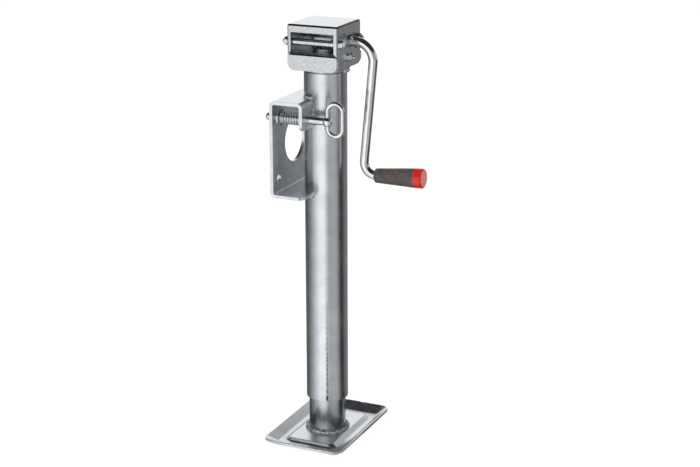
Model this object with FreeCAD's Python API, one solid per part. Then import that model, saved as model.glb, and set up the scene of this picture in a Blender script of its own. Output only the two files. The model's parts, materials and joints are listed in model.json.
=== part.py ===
import FreeCAD, Part
import math
import os

V = FreeCAD.Vector
X_AXIS = V(1, 0, 0)
Y_AXIS = V(0, 1, 0)
Z_AXIS = V(0, 0, 1)

# The stand's frame, in millimetres: the tubes' axis meets the ground at the origin,
# +Z is up, +X points towards the crank and -Y is the front, where the lock pin is.

# Clearances
running_clearance = 0.1      # radial play of a shaft in its bush
bolt_clearance = 0.2         # radial play of a bolt in its hole
sheet_clearance = 0.2        # play between two folded sheets
moving_clearance = 0.3       # least room between pieces that move past each other
over = 1.0                   # how far a cutting tool reaches past the face it cuts
near = 0.01                  # tolerance for finding an edge by its place

# Tubes
outer_tube_d = 57.0
outer_tube_wall = 2.8
outer_tube_bottom = 55.0
outer_tube_length = 477.0
inner_tube_d = 50.0
inner_tube_wall = 3.0
inner_tube_room = 32.0       # from the drop leg's top to the outer tube's top
leg_travel = 240.0
dimple_height = 4.2          # centre of the guide dimple above the outer tube's lower end
dimple_azimuth = -65.0       # degrees from +X
dimple_ball_r = 3.0
dimple_depth = 1.3
guide_bump = 1.8             # how far the dimple stands into the outer tube
key_groove_width = 5.8
key_groove_end = 4.0         # groove beyond the dimple at both ends of the travel

# Foot
foot_sheet = 3.0
foot_rim_x = 58.0
foot_rim_y = 87.0
foot_rim_z = 12.5
foot_base_x = 47.7
foot_base_y = 73.0
foot_rim_corner = 14.0
foot_base_corner = 8.0
foot_bend_r = 3.0
panel_height = 4.0
panel_top_x = 32.0
panel_top_y = 57.0
panel_slope_x = 6.5
panel_slope_y = 2.0
panel_corner = 6.0
panel_inset = 2.0            # the recess under the panel is this much smaller
foot_weld_leg = 5.0
weld_face_far = 0.8          # corners of a weld ring's face, in weld legs
weld_face_near = 0.45

# Head, its heights measured from the outer tube's top
head_sheet = 2.5
tab_gap = 1.7                # between the tube and the tabs beside it
head_front = -40.4
head_rear = 33.3
cover_rise = 40.5
cover_skirt = 16.5
cover_bend_r = 3.0
lip_depth = 10.2
lip_corner = 1.5
strip_width = 5.2
strip_foot = 1.0
strip_cut = 5.0
side_corner_r = 10.0
base_bend_r = 5.0
flange_drop = 19.0
flange_inset = 0.7           # the flanges are this much narrower than the cover, each side
flange_corner = 9.5
flange_top_cut = 5.0
side_tab_half = 19.0
side_tab_y = -11.0
side_tab_drop = 20.5
side_tab_corner = 8.0
plate_weld_r = 3.0
plate_weld_starts = (55, 235)    # degrees from +X
plate_weld_arc = 70
tab_weld_r = 2.4
tab_weld_starts = (-26, 180)
tab_weld_arc = 26
tab_weld_out = 0.6           # bead's middle outside the tube and below the tab

# Fasteners of the head, all of one thread size
bolt_r = 3.0
bolt_hex = 10.0
bolt_head = 4.0
bolt_nut = 4.4
bolt_end = 2.6               # thread that shows beyond a nut
hex_rounding = 0.28          # height of a nut's rounded corners, in widths
hex_face = 0.45              # radius of the flat on a bolt's head, in widths
washer_r = 6.0
washer_t = 1.6
sleeve_r = 4.5
front_bolt_y = -32.3
front_bolt_rise = 17.0
rear_bolt_y = 21.0
rear_bolt_rise = 18.0
stud_y = -3.5
stud_drop = 3.2
stud_end = 3.0

# Crank shaft, arm and grip
shaft_rise = 14.5            # shaft's axis above the base's plate
rod_r = 6.0
journal_r = 4.5
shaft_play = 0.4             # between the rod's shoulder and the bush
bush_flange = 2.0
bush_flange_r = 10.0
bush_right_r = 8.0
bush_left_r = 6.5
bush_stand = 2.2             # how far a bush stands out of the side plate
bush_edge = 0.4
shaft_pin_r = 2.0
shaft_pin_length = 23.0
shaft_pin_lean = 43.0        # degrees, its top leans to the front
clip_r = 7.5
clip_t = 1.2
journal_end = 2.0            # journal beyond the clip
arm_corner_x = 69.9
arm_length = 176.4
arm_lean = 5.3               # degrees, the arm leans in towards the tube
arm_bend_r = 25.0
grip_bend_r = 16.5
grip_rise = 2.6              # degrees
grip_start = 18.0            # along the grip's axis, from the lower corner
grip_length = 56.2
grip_r_inner = 9.6
grip_r_outer = 12.6
grip_nose_r = 2.5
grip_collar = 3.0            # straight end next to the cap
grip_socket_depth = 4.5
grip_groove_pitch = 4.7
grip_groove_r = 1.3
grip_groove_depth = 0.7
grip_groove_half = 5.5       # half the width of a row of grooves
cap_length = 11.6
cap_r = 13.1
cap_round = 2.4
cap_wall = 2.2
cap_end_wall = 3.6
retainer_r = 8.4
retainer_t = 2.0
rod_end = 2.0                # rod beyond the retainer

# Bevel gears
module = 1.8
pinion_teeth = 10
gear_teeth = 20
pressure_angle = 20.0
addendum = 0.9               # in modules
dedendum = 1.12
tooth_shift = 0.35           # pinion longer, gear shorter
backlash = 0.3
face_width = 6.6
gear_dish = 0.45             # radius of the flat inside the teeth, in pitch radii
pinion_hub_r = 9.0
pinion_back = 1.5            # solid behind the pinion's teeth
flank_steps = 4              # points along each tooth flank, less one
teeth_beyond = 4.0           # the toothed cone reaches this far behind the blank
teeth_small = 0.3            # and starts at this share of its height
root_inset = 0.999           # a blank's back is this much slimmer than its tooth roots
pinion_pin_r = 1.5
gear_back_gap = 0.3

# Screw, bearing and nut
screw_r = 8.0
screw_journal_r = 6.0
gear_nut_hex = 16.0
gear_nut_t = 2.0
key_side = 3.0
race_r = 20.0
race_t = 3.0
ball_r = 2.5
ball_circle_r = 13.5
ball_count = 12
groove_depth = 0.8
ball_fit = 0.05
collar_r = 12.0
collar_t = 5.0
travel_nut_length = 18.0
travel_nut_flange = 4.0
travel_nut_inset = 0.2       # the flange is this much smaller than the drop leg
stop_r = 14.0
stop_t = 4.0
stop_gap = 2.0
screw_tail = 4.0
screw_chamfer = 1.0
journal_hole_play = 0.5
race_hole_play = 1.0

# Mount bracket
bracket_sheet = 4.5
bracket_back = -51.0
bracket_front = -4.0
bracket_half = 63.0
bracket_drop = 57.0          # bracket's top below the outer tube's top
bracket_height = 129.0
bracket_bend_r = 7.0
lip_height = 36.5
lip_corner_r = 8.0
flange_chamfer = 8.0
pipe_bore_r = 29.8
pipe_bore_y = 2.5
pipe_bore_rise = 65.5        # above the bracket's bottom
lock_hole_r = 5.2
lock_hole_chamfer = 0.8
lock_hole_inset = 18.0       # from the bracket's front edge
lock_hole_rise = 23.0
weld_r = 4.0
weld_arc = 34.0              # degrees of each stitch
weld_low = 2.0               # upright stitches start this far above the lip's lower edge
weld_high = 4.0              # and end this far below the bracket's top

# Lock pin, spring and ring
pin_inset = 15.0             # from the bracket's front edge
pin_drop = 23.5              # below the bracket's top
pin_r = 5.0
pin_nose = 11.3              # nose beyond the bracket's back
pin_nose_round = 3.5
pin_end_round = 1.7
pin_eye_r = 6.6
cross_pin_r = 1.5
cross_pin_length = 18.0
cross_pin_gap = 0.6          # between cross pin and bracket
collar_washer_r = 11.0
collar_washer_t = 2.0
spring_r = 8.5
spring_wire = 2.0
spring_turns = 8.5
spring_ground = 0.05         # ground off each end of the spring
ring_x = 25.0
ring_wire = 6.0
ring_width = 27.2
ring_height = 48.0
ring_lift = 3.2              # ring's middle above the pin's axis
ring_end_gap = 1.0
pin_end = 4.2                # pin beyond the ring's wire axis

# Worked out from the sizes above
tube_r = outer_tube_d / 2
tube_inside_r = tube_r - outer_tube_wall
leg_r = inner_tube_d / 2
leg_inside_r = leg_r - inner_tube_wall
panel_top = foot_sheet + panel_height
plate_bottom = outer_tube_bottom + outer_tube_length
inner_tube_top = plate_bottom - inner_tube_room
tab_inside = tube_r + tab_gap
tab_outside = tab_inside + head_sheet
side_inside = tab_outside + sheet_clearance
head_half_width = side_inside + head_sheet
head_top = plate_bottom + cover_rise
head_bottom = plate_bottom - cover_skirt
strip_bottom = plate_bottom + strip_foot
base_plate_top = plate_bottom + head_sheet
base_rear = head_rear + sheet_clearance + head_sheet
base_flange_bottom = plate_bottom - flange_drop
base_flange_half = head_half_width - flange_inset
side_tab_bottom = plate_bottom - side_tab_drop
front_bolt_z = plate_bottom + front_bolt_rise
rear_bolt_z = plate_bottom + rear_bolt_rise
stud_z = plate_bottom - stud_drop
shaft_z = base_plate_top + shaft_rise
shoulder_x = side_inside - bush_flange - shaft_play
pitch_r_pinion = module * pinion_teeth / 2
pitch_r_gear = module * gear_teeth / 2
gear_back = base_plate_top + gear_back_gap
cone_length = math.hypot(pitch_r_pinion, pitch_r_gear)
small_end = 1 - face_width / cone_length
ball_z = plate_bottom - race_t - ball_r + groove_depth
lower_race_top = ball_z - ball_r + groove_depth
lower_race_bottom = lower_race_top - race_t
collar_bottom = lower_race_bottom - collar_t
nut_bottom = inner_tube_top - travel_nut_length
stop_top = nut_bottom - leg_travel - stop_gap
bracket_top = plate_bottom - bracket_drop
bracket_bottom = bracket_top - bracket_height
lip_bottom = bracket_top - lip_height
bracket_inside = bracket_back + bracket_sheet
lip_inside = bracket_front - bracket_sheet
pipe_bore_z = bracket_bottom + pipe_bore_rise
lock_hole_y = lock_hole_inset - bracket_half
lock_hole_z = bracket_bottom + lock_hole_rise
pin_y = pin_inset - bracket_half
pin_z = bracket_top - pin_drop
spring_start = bracket_inside + cross_pin_gap + 2 * cross_pin_r + collar_washer_t


def placed(shape, base, axis):
    """Stand a shape that was made along +Z on base, along axis."""
    shape.Placement = FreeCAD.Placement(base, FreeCAD.Rotation(Z_AXIS, axis))
    return shape


def bar(radius, start, end):
    """Round bar from start to end."""
    along = end - start
    return Part.makeCylinder(radius, along.Length, start, along)


def tube_between(outer, inner, start, end):
    """Round tube from start to end."""
    return bar(outer, start, end).cut(bar(inner, start, end))


def box_between(low, high):
    """Block between two opposite corners."""
    size = high - low
    return Part.makeBox(size.x, size.y, size.z, low)


def turned(outline, base, axis):
    """Turn a closed outline of (radius, height) points about axis."""
    points = [V(radius, 0, height) for radius, height in outline]
    face = Part.Face(Part.makePolygon(points + points[:1]))
    return placed(face.revolve(V(0, 0, 0), Z_AXIS, 360), base, axis)


def hexagon(width, thickness, base, axis):
    """Six-sided block, width across its flats."""
    corner = width / math.sqrt(3)
    points = [
        V(corner * math.cos(math.radians(60 * i)), corner * math.sin(math.radians(60 * i)), 0)
        for i in range(7)
    ]
    block = Part.Face(Part.makePolygon(points)).extrude(V(0, 0, thickness))
    return placed(block, base, axis)


def nut(width, thickness, bore, base, axis):
    """Nut with its corners chamfered on the outer face and a plain bore."""
    outline = [
        (0, 0),
        (width, 0),
        (width, thickness - width * hex_rounding),
        (width / 2, thickness),
        (0, thickness),
    ]
    rounding = turned(outline, base, axis)
    block = hexagon(width, thickness, base, axis).common(rounding)
    return block.cut(Part.makeCylinder(bore, thickness, base, axis))


def outline_face(corners, radii, to_space):
    """Face from corner points, each rounded with its own radius, 0 for sharp.

    to_space turns a flat (a, b) point into a point in space.
    """
    def lifted(point):
        return to_space(point.x, point.y)

    edges = []
    count = len(corners)
    starts = []
    for i in range(count):
        here = V(corners[i][0], corners[i][1], 0)
        before = V(corners[i - 1][0], corners[i - 1][1], 0)
        after = V(corners[(i + 1) % count][0], corners[(i + 1) % count][1], 0)
        if not radii[i]:
            starts.append((here, None, here))
            continue
        back = (before - here).normalize()
        ahead = (after - here).normalize()
        half = back.getAngle(ahead) / 2
        reach = radii[i] / math.tan(half)
        centre = here + (back + ahead).normalize() * (radii[i] / math.sin(half))
        middle = centre + (here - centre).normalize() * radii[i]
        starts.append((here + back * reach, middle, here + ahead * reach))
    for i in range(count):
        first, middle, last = starts[i]
        if middle is not None:
            edges.append(Part.Arc(lifted(first), lifted(middle), lifted(last)).toShape())
        following = starts[(i + 1) % count][0]
        if (following - last).Length > 1e-6:
            edges.append(Part.makeLine(lifted(last), lifted(following)))
    return Part.Face(Part.Wire(edges))


def bent_path(points, radii):
    """Wire of straight runs joined by tangent arcs, one radius per inner point."""
    edges = []
    last = points[0]
    for i in range(1, len(points) - 1):
        back = (points[i - 1] - points[i]).normalize()
        ahead = (points[i + 1] - points[i]).normalize()
        half = back.getAngle(ahead) / 2
        reach = radii[i - 1] / math.tan(half)
        centre = points[i] + (back + ahead).normalize() * (radii[i - 1] / math.sin(half))
        middle = centre + (points[i] - centre).normalize() * radii[i - 1]
        start = points[i] + back * reach
        if (start - last).Length > 1e-6:
            edges.append(Part.makeLine(last, start))
        last = points[i] + ahead * reach
        edges.append(Part.Arc(start, middle, last).toShape())
    if (points[-1] - last).Length > 1e-6:
        edges.append(Part.makeLine(last, points[-1]))
    return Part.Wire(edges)


def round_bar_along(path, radius):
    """Sweep a round section along a path."""
    first = path.Edges[0]
    start = path.OrderedVertexes[0].Point
    tangent = first.tangentAt(first.FirstParameter)
    section = Part.Wire(Part.makeCircle(radius, start, tangent))
    return path.makePipeShell([section], True, False)


def outer_tube():
    """Outer tube with the guide dimple punched in near its lower end."""
    top = V(0, 0, plate_bottom)
    tube = tube_between(tube_r, tube_inside_r, V(0, 0, outer_tube_bottom), top)
    turn = math.radians(dimple_azimuth)
    outward = V(math.cos(turn), math.sin(turn), 0)
    height = V(0, 0, outer_tube_bottom + dimple_height)
    bump_out = tube_inside_r - guide_bump + dimple_ball_r
    bump = Part.makeSphere(dimple_ball_r, height + outward * bump_out)
    bump = bump.common(Part.makeCylinder(tube_inside_r + outer_tube_wall / 2, plate_bottom))
    dent_out = tube_r - dimple_depth + dimple_ball_r
    dent = Part.makeSphere(dimple_ball_r, height + outward * dent_out)
    return tube.fuse(bump).cut(dent).removeSplitter()


def inner_tube():
    """Drop leg tube with the groove that the guide dimple runs in."""
    tube = tube_between(leg_r, leg_inside_r, V(0, 0, panel_top), V(0, 0, inner_tube_top))
    depth = tube_inside_r - guide_bump - moving_clearance
    low = outer_tube_bottom + dimple_height - key_groove_width / 2
    high = outer_tube_bottom + dimple_height + leg_travel + key_groove_end + key_groove_width / 2
    half = key_groove_width / 2
    groove = box_between(V(depth, -half, low), V(tube_r, half, high))
    groove.rotate(V(0, 0, 0), Z_AXIS, dimple_azimuth)
    return tube.cut(groove)


def rounded_level(half_x, half_y, corner, z):
    """Rounded rectangle about the tubes' axis at height z."""
    corners = [(half_x, half_y), (-half_x, half_y), (-half_x, -half_y), (half_x, -half_y)]
    face = outline_face(corners, [corner] * 4, lambda a, b: V(a, b, z))
    return face.OuterWire


def between_levels(levels):
    """Solid through rounded rectangles, with flat slopes from one to the next."""
    return Part.makeLoft([rounded_level(*level) for level in levels], True, True)


def foot_plate():
    """Pressed tray: sloped walls, rounded corners and a raised middle panel."""
    slope_x = (foot_rim_x - foot_base_x) / foot_rim_z
    slope_y = (foot_rim_y - foot_base_y) / foot_rim_z
    wall_x = foot_sheet * math.hypot(1, slope_x)
    wall_y = foot_sheet * math.hypot(1, slope_y)
    outer = between_levels([
        (foot_base_x, foot_base_y, foot_base_corner, 0),
        (foot_rim_x, foot_rim_y, foot_rim_corner, foot_rim_z),
    ])
    lowest = [edge for edge in outer.Edges if edge.BoundBox.ZMax < near]
    outer = outer.makeFillet(foot_bend_r, lowest)
    inner = between_levels([
        (
            foot_base_x + slope_x * foot_sheet - wall_x,
            foot_base_y + slope_y * foot_sheet - wall_y,
            foot_base_corner,
            foot_sheet,
        ),
        (foot_rim_x - wall_x, foot_rim_y - wall_y, foot_rim_corner - foot_sheet, foot_rim_z),
    ])
    panel = between_levels([
        (panel_top_x + panel_slope_x, panel_top_y + panel_slope_y, panel_corner, foot_sheet),
        (panel_top_x, panel_top_y, panel_corner, panel_top),
    ])
    recess = between_levels([
        (
            panel_top_x + panel_slope_x - panel_inset,
            panel_top_y + panel_slope_y - panel_inset,
            panel_corner,
            0,
        ),
        (panel_top_x - panel_inset, panel_top_y - panel_inset, panel_corner, panel_height),
    ])
    return outer.cut(inner).fuse(panel).cut(recess).removeSplitter()


def foot_weld():
    """Weld ring round the foot of the drop leg."""
    leg = foot_weld_leg
    outline = [
        (leg_r, panel_top),
        (leg_r + leg, panel_top),
        (leg_r + leg * weld_face_far, panel_top + leg * weld_face_near),
        (leg_r + leg * weld_face_near, panel_top + leg * weld_face_far),
        (leg_r, panel_top + leg),
    ]
    return turned(outline, V(0, 0, 0), Z_AXIS)


def head_side_outline():
    """Outline of the cover seen from the side, with its lower corners rounded."""
    corners = [
        (head_front, head_bottom),
        (head_rear, head_bottom),
        (head_rear, head_top),
        (head_front, head_top),
    ]
    radii = [side_corner_r, side_corner_r, 0, 0]
    face = outline_face(corners, radii, lambda a, b: V(-head_half_width, a, b))
    return face.extrude(V(2 * head_half_width, 0, 0))


def open_end(y_from, y_to, beyond):
    """What is cut from the cover's front or rear: the window and the room for the base below it.

    beyond is half the width of that room.
    """
    window = head_half_width - strip_width
    corners = [
        (-window, head_top - lip_depth),
        (window, head_top - lip_depth),
        (window, strip_bottom + strip_cut),
        (beyond, strip_bottom + strip_cut - (beyond - window)),
        (beyond, head_bottom - head_sheet),
        (-beyond, head_bottom - head_sheet),
        (-beyond, strip_bottom + strip_cut - (beyond - window)),
        (-window, strip_bottom + strip_cut),
    ]
    radii = [lip_corner, lip_corner, 0, 0, 0, 0, 0, 0]
    face = outline_face(corners, radii, lambda a, b: V(a, y_from, b))
    return face.extrude(V(0, y_to - y_from, 0))


def side_holes():
    """Round holes through the cover's sides, for the shaft, the tie bolts and the studs."""
    right = V(head_half_width + over, 0, 0)
    left = V(-head_half_width - over, 0, 0)
    shaft = V(0, 0, shaft_z)
    holes = [bar(bush_right_r, shaft, shaft + right), bar(bush_left_r, shaft, shaft + left)]
    for y, z in ((front_bolt_y, front_bolt_z), (rear_bolt_y, rear_bolt_z), (stud_y, stud_z)):
        holes.append(bar(bolt_r + bolt_clearance, left + V(0, y, z), right + V(0, y, z)))
    return holes


def head_cover():
    """Folded cover: top, two sides, short lips and side returns at front and rear."""
    low = V(-head_half_width, head_front, head_bottom)
    high = V(head_half_width, head_rear, head_top)
    sheet = V(head_sheet, head_sheet, head_sheet)
    outer = box_between(low, high)
    bends = [
        e for e in outer.Edges
        if e.BoundBox.ZMax > head_top - near or e.BoundBox.ZLength > over
    ]
    outer = outer.makeFillet(cover_bend_r, bends)
    inner = box_between(low + V(head_sheet, head_sheet, -over), high - sheet)
    edges = [
        e for e in inner.Edges
        if e.BoundBox.ZMin > head_top - 2 * head_sheet or e.BoundBox.ZLength > over
    ]
    inner = inner.makeFillet(cover_bend_r - head_sheet, edges)
    shell = outer.cut(inner).common(head_side_outline())
    depth = head_sheet + sheet_clearance
    shell = shell.cut(open_end(head_front - over, head_front + depth, head_half_width + over))
    shell = shell.cut(open_end(head_rear - depth, head_rear + over, side_inside))
    return shell.cut(side_holes())


def base_channel():
    """The base's plate with its front and rear flanges, as one folded profile."""
    front, rear = head_front, base_rear
    inside = base_bend_r - head_sheet
    corners = [
        (front, base_flange_bottom),
        (front, base_plate_top),
        (rear, base_plate_top),
        (rear, base_flange_bottom),
        (rear - head_sheet, base_flange_bottom),
        (rear - head_sheet, plate_bottom),
        (front + head_sheet, plate_bottom),
        (front + head_sheet, base_flange_bottom),
    ]
    radii = [0, base_bend_r, base_bend_r, 0, 0, inside, inside, 0]
    face = outline_face(corners, radii, lambda a, b: V(-base_flange_half, a, b))
    return face.extrude(V(2 * base_flange_half, 0, 0))


def flange_outline(y_from, y_to):
    """Front view of a flange: top corners chamfered, lower corners rounded."""
    half, chamfer = base_flange_half, flange_top_cut
    corners = [
        (-half, base_flange_bottom),
        (half, base_flange_bottom),
        (half, base_plate_top - chamfer),
        (half - chamfer, base_plate_top),
        (-half + chamfer, base_plate_top),
        (-half, base_plate_top - chamfer),
    ]
    radii = [flange_corner, flange_corner, 0, 0, 0, 0]
    face = outline_face(corners, radii, lambda a, b: V(a, y_from, b))
    return face.extrude(V(0, y_to - y_from, 0))


def side_tab(side):
    """Tab that hangs from the base's plate beside the tube and holds a stud."""
    corners = [
        (side_tab_y - side_tab_half, side_tab_bottom),
        (side_tab_y + side_tab_half, side_tab_bottom),
        (side_tab_y + side_tab_half, plate_bottom),
        (side_tab_y - side_tab_half, plate_bottom),
    ]
    radii = [side_tab_corner, side_tab_corner, 0, 0]
    face = outline_face(corners, radii, lambda a, b: V(side * tab_inside, a, b))
    return face.extrude(V(side * head_sheet, 0, 0))


def head_base():
    """Folded base bracket: plate on the tube's top, four turned-down flanges."""
    channel = base_channel()
    reach = head_sheet + sheet_clearance
    rear_from = head_rear + sheet_clearance
    middle = box_between(
        V(-tab_outside, head_front + reach, base_flange_bottom),
        V(tab_outside, rear_from, base_plate_top),
    )
    front = flange_outline(head_front, head_front + reach)
    rear = flange_outline(rear_from, base_rear)
    base = channel.common(middle.fuse([front, rear]))
    base = base.fuse([side_tab(1), side_tab(-1)]).removeSplitter()
    journal_hole = bar(
        screw_journal_r + journal_hole_play,
        V(0, 0, plate_bottom - over),
        V(0, 0, base_plate_top + over),
    )
    stud_hole = bar(bolt_r, V(-head_half_width, stud_y, stud_z), V(head_half_width, stud_y, stud_z))
    return base.cut([journal_hole, stud_hole])


def tie_bolt(y, z, head_side):
    """Bolt across the head, its hexagon on one side and its thread end on the other."""
    outside = head_half_width + washer_t
    centre = V(0, y, z)
    toward = X_AXIS * head_side
    head = hexagon(bolt_hex, bolt_head, centre + toward * outside, toward)
    outline = [
        (0, 0),
        (bolt_hex, 0),
        (bolt_hex, bolt_head - bolt_hex * hex_rounding),
        (bolt_hex * hex_face, bolt_head),
        (0, bolt_head),
    ]
    edge = turned(outline, centre + toward * outside, toward)
    end = outside + bolt_nut + bolt_end
    shank = bar(bolt_r, centre + toward * outside, centre - toward * end)
    return head.common(edge).fuse(shank).removeSplitter()


def tie_nuts():
    """One nut on each tie bolt, opposite its head."""
    outside = head_half_width + washer_t
    front = nut(bolt_hex, bolt_nut, bolt_r, V(-outside, front_bolt_y, front_bolt_z), -X_AXIS)
    rear = nut(bolt_hex, bolt_nut, bolt_r, V(outside, rear_bolt_y, rear_bolt_z), X_AXIS)
    return [front, rear]


def washer(y, z, side):
    """Washer against one side of the cover."""
    start = V(side * head_half_width, y, z)
    return tube_between(washer_r, bolt_r, start, start + X_AXIS * side * washer_t)


def tie_washers():
    places = ((front_bolt_y, front_bolt_z), (rear_bolt_y, rear_bolt_z))
    return [washer(y, z, side) for y, z in places for side in (1, -1)]


def tie_sleeves():
    """Spacer tubes that keep the cover's sides apart."""
    places = ((front_bolt_y, front_bolt_z), (rear_bolt_y, rear_bolt_z))
    return [
        tube_between(sleeve_r, bolt_r + running_clearance, V(-side_inside, y, z), V(side_inside, y, z))
        for y, z in places
    ]


def side_studs():
    """Studs pressed into the base's tabs."""
    end = head_half_width + washer_t + bolt_nut + stud_end
    return [
        bar(bolt_r, V(side * tab_inside, stud_y, stud_z), V(side * end, stud_y, stud_z))
        for side in (1, -1)
    ]


def side_nuts():
    outside = head_half_width + washer_t
    return [
        nut(bolt_hex, bolt_nut, bolt_r, V(side * outside, stud_y, stud_z), X_AXIS * side)
        for side in (1, -1)
    ]


def side_washers():
    return [washer(stud_y, stud_z, side) for side in (1, -1)]


def shaft_bush(side, bore, body_r):
    """Flanged bush in one side of the cover."""
    inside = side_inside - bush_flange
    outside = head_half_width + bush_stand
    outline = [
        (bore, inside),
        (bush_flange_r, inside),
        (bush_flange_r, side_inside),
        (body_r, side_inside),
        (body_r, outside - bush_edge),
        (body_r - bush_edge, outside),
        (bore, outside),
    ]
    return turned(outline, V(0, 0, shaft_z), X_AXIS * side)


def upper_race():
    """Still race of the thrust bearing, under the base's plate."""
    bottom = plate_bottom - race_t
    race = tube_between(
        race_r, screw_journal_r + race_hole_play, V(0, 0, bottom), V(0, 0, plate_bottom)
    )
    return race.cut(Part.makeTorus(ball_circle_r, ball_r + ball_fit, V(0, 0, ball_z)))


def lower_race():
    """Race that turns with the screw."""
    race = tube_between(race_r, screw_journal_r, V(0, 0, lower_race_bottom), V(0, 0, lower_race_top))
    return race.cut(Part.makeTorus(ball_circle_r, ball_r + moving_clearance, V(0, 0, ball_z)))


def thrust_balls():
    balls = []
    for i in range(ball_count):
        turn = 2 * math.pi * i / ball_count
        place = V(ball_circle_r * math.cos(turn), ball_circle_r * math.sin(turn), ball_z)
        balls.append(Part.makeSphere(ball_r, place))
    return balls


def arc_bead(radius, ring_r, z, from_angle, to_angle):
    """Round weld bead along an arc about the tube's axis."""
    section = Part.Face(Part.Wire(Part.makeCircle(radius, V(ring_r, 0, z), Y_AXIS)))
    bead = section.revolve(V(0, 0, 0), Z_AXIS, to_angle - from_angle)
    bead.rotate(V(0, 0, 0), Z_AXIS, from_angle)
    return bead


def head_welds(base):
    """Beads between tube and base: two arcs under the plate and one under each tab."""
    tube = Part.makeCylinder(tube_r, head_top)
    beads = []
    for start in plate_weld_starts:
        beads.append(arc_bead(plate_weld_r, tube_r, plate_bottom, start, start + plate_weld_arc))
    tab_weld_z = side_tab_bottom - tab_weld_out
    for start in tab_weld_starts:
        end = start + tab_weld_arc
        beads.append(arc_bead(tab_weld_r, tube_r + tab_weld_out, tab_weld_z, start, end))
    above = box_between(
        V(-head_half_width, head_front, plate_bottom), V(head_half_width, head_rear, head_top)
    )
    return [bead.cut([tube, base, above]) for bead in beads]


def lead_screw():
    """Lifting screw with a turned journal that carries bearing and gear."""
    top = gear_top() + gear_nut_t
    outline = [
        (0, stop_top - stop_t - screw_tail),
        (screw_r - screw_chamfer, stop_top - stop_t - screw_tail),
        (screw_r, stop_top - stop_t - screw_tail + screw_chamfer),
        (screw_r, lower_race_bottom),
        (screw_journal_r, lower_race_bottom),
        (screw_journal_r, top),
        (0, top),
    ]
    return turned(outline, V(0, 0, 0), Z_AXIS).cut(gear_key())


def thrust_collar():
    low = V(0, 0, collar_bottom)
    return tube_between(collar_r, screw_r, low, V(0, 0, lower_race_bottom))


def screw_stop():
    """Ring on the screw's lower end that the nut meets at full reach."""
    return tube_between(stop_r, screw_r, V(0, 0, stop_top - stop_t), V(0, 0, stop_top))


def gear_key():
    """Key between the screw's journal and the gear."""
    half = key_side / 2
    return box_between(
        V(-half, screw_journal_r - half, gear_back), V(half, screw_journal_r + half, gear_top())
    )


def gear_nut():
    top = gear_top()
    return nut(gear_nut_hex, gear_nut_t, screw_journal_r, V(0, 0, top), Z_AXIS)


def travel_nut():
    """Nut in the top of the drop leg, with a flange on the tube's end."""
    bore = screw_r + running_clearance
    flange_r = leg_r - travel_nut_inset
    outline = [
        (bore, nut_bottom),
        (leg_inside_r, nut_bottom),
        (leg_inside_r, inner_tube_top),
        (flange_r, inner_tube_top),
        (flange_r, inner_tube_top + travel_nut_flange),
        (bore, inner_tube_top + travel_nut_flange),
    ]
    return turned(outline, V(0, 0, 0), Z_AXIS)


def involute(angle):
    return math.tan(angle) - angle


def tooth_levels(teeth, mate, shift):
    """Sizes of a bevel tooth at its large end, on the cone across the pitch cone."""
    pitch_r = module * teeth / 2
    cone = math.atan2(teeth, mate)
    virtual_r = pitch_r / math.cos(cone)
    return {
        "pitch_r": pitch_r,
        "cone": cone,
        "virtual_r": virtual_r,
        "tip": virtual_r + module * (addendum + shift),
        "root": virtual_r - module * (dedendum - shift),
        "apex": pitch_r / math.tan(cone) + pitch_r * math.tan(cone),
    }


def on_cone(levels, reach):
    """Radius and distance from the gears' common point, for a place on the large end."""
    cone = levels["cone"]
    return reach * math.cos(cone), levels["apex"] - reach * math.sin(cone)


def half_angle(levels, reach, shift):
    """Half the tooth's angle at a place on the large end, seen along the gear's axis."""
    pressure = math.radians(pressure_angle)
    virtual_r = levels["virtual_r"]
    base_r = virtual_r * math.cos(pressure)
    thickness = module * (math.pi / 2 + 2 * shift * math.tan(pressure)) - backlash / 2
    at_pitch = thickness / (2 * virtual_r)
    opened = involute(math.acos(base_r / max(reach, base_r)))
    return (at_pitch + involute(pressure) - opened) / math.cos(levels["cone"])


def toothed_cone(teeth, mate, shift, turn, height):
    """Teeth as a pyramid from the common point, out to a plane at height along the axis."""
    levels = tooth_levels(teeth, mate, shift)
    reaches = [
        levels["root"] + (levels["tip"] - levels["root"]) * i / flank_steps
        for i in range(flank_steps + 1)
    ]
    points = []
    for tooth in range(teeth):
        middle = turn + 2 * math.pi * tooth / teeth
        flank = []
        for reach in reaches:
            radius, along = on_cone(levels, reach)
            flank.append((radius * height / along, half_angle(levels, reach, shift)))
        for radius, half in flank:
            points.append((radius, middle - half))
        for radius, half in reversed(flank):
            points.append((radius, middle + half))
    wires = []
    for scale in (1.0, teeth_small):
        ring = [
            V(scale * r * math.cos(a), scale * r * math.sin(a), scale * height)
            for r, a in points
        ]
        wires.append(Part.makePolygon(ring + ring[:1]))
    return Part.makeLoft(wires, True, True), levels


def bevel_blank(levels, back, front):
    """Turned blank: back and front planes, large and small end cones."""
    tip_r, tip_at = on_cone(levels, levels["tip"] + near)
    root_r, root_at = on_cone(levels, levels["root"])
    outline = [
        (0, back),
        (root_r * root_inset, back),
        (root_r, root_at),
        (tip_r, tip_at),
        (tip_r * small_end, tip_at * small_end),
        (root_r * small_end, root_at * small_end),
        (root_r * small_end, front),
        (0, front),
    ]
    return turned(outline, V(0, 0, 0), Z_AXIS)


def gear_top():
    """Height of the gear's flat top, at the root of its teeth's small end."""
    levels = tooth_levels(gear_teeth, pinion_teeth, -tooth_shift)
    return shaft_z - on_cone(levels, levels["root"])[1] * small_end


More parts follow.
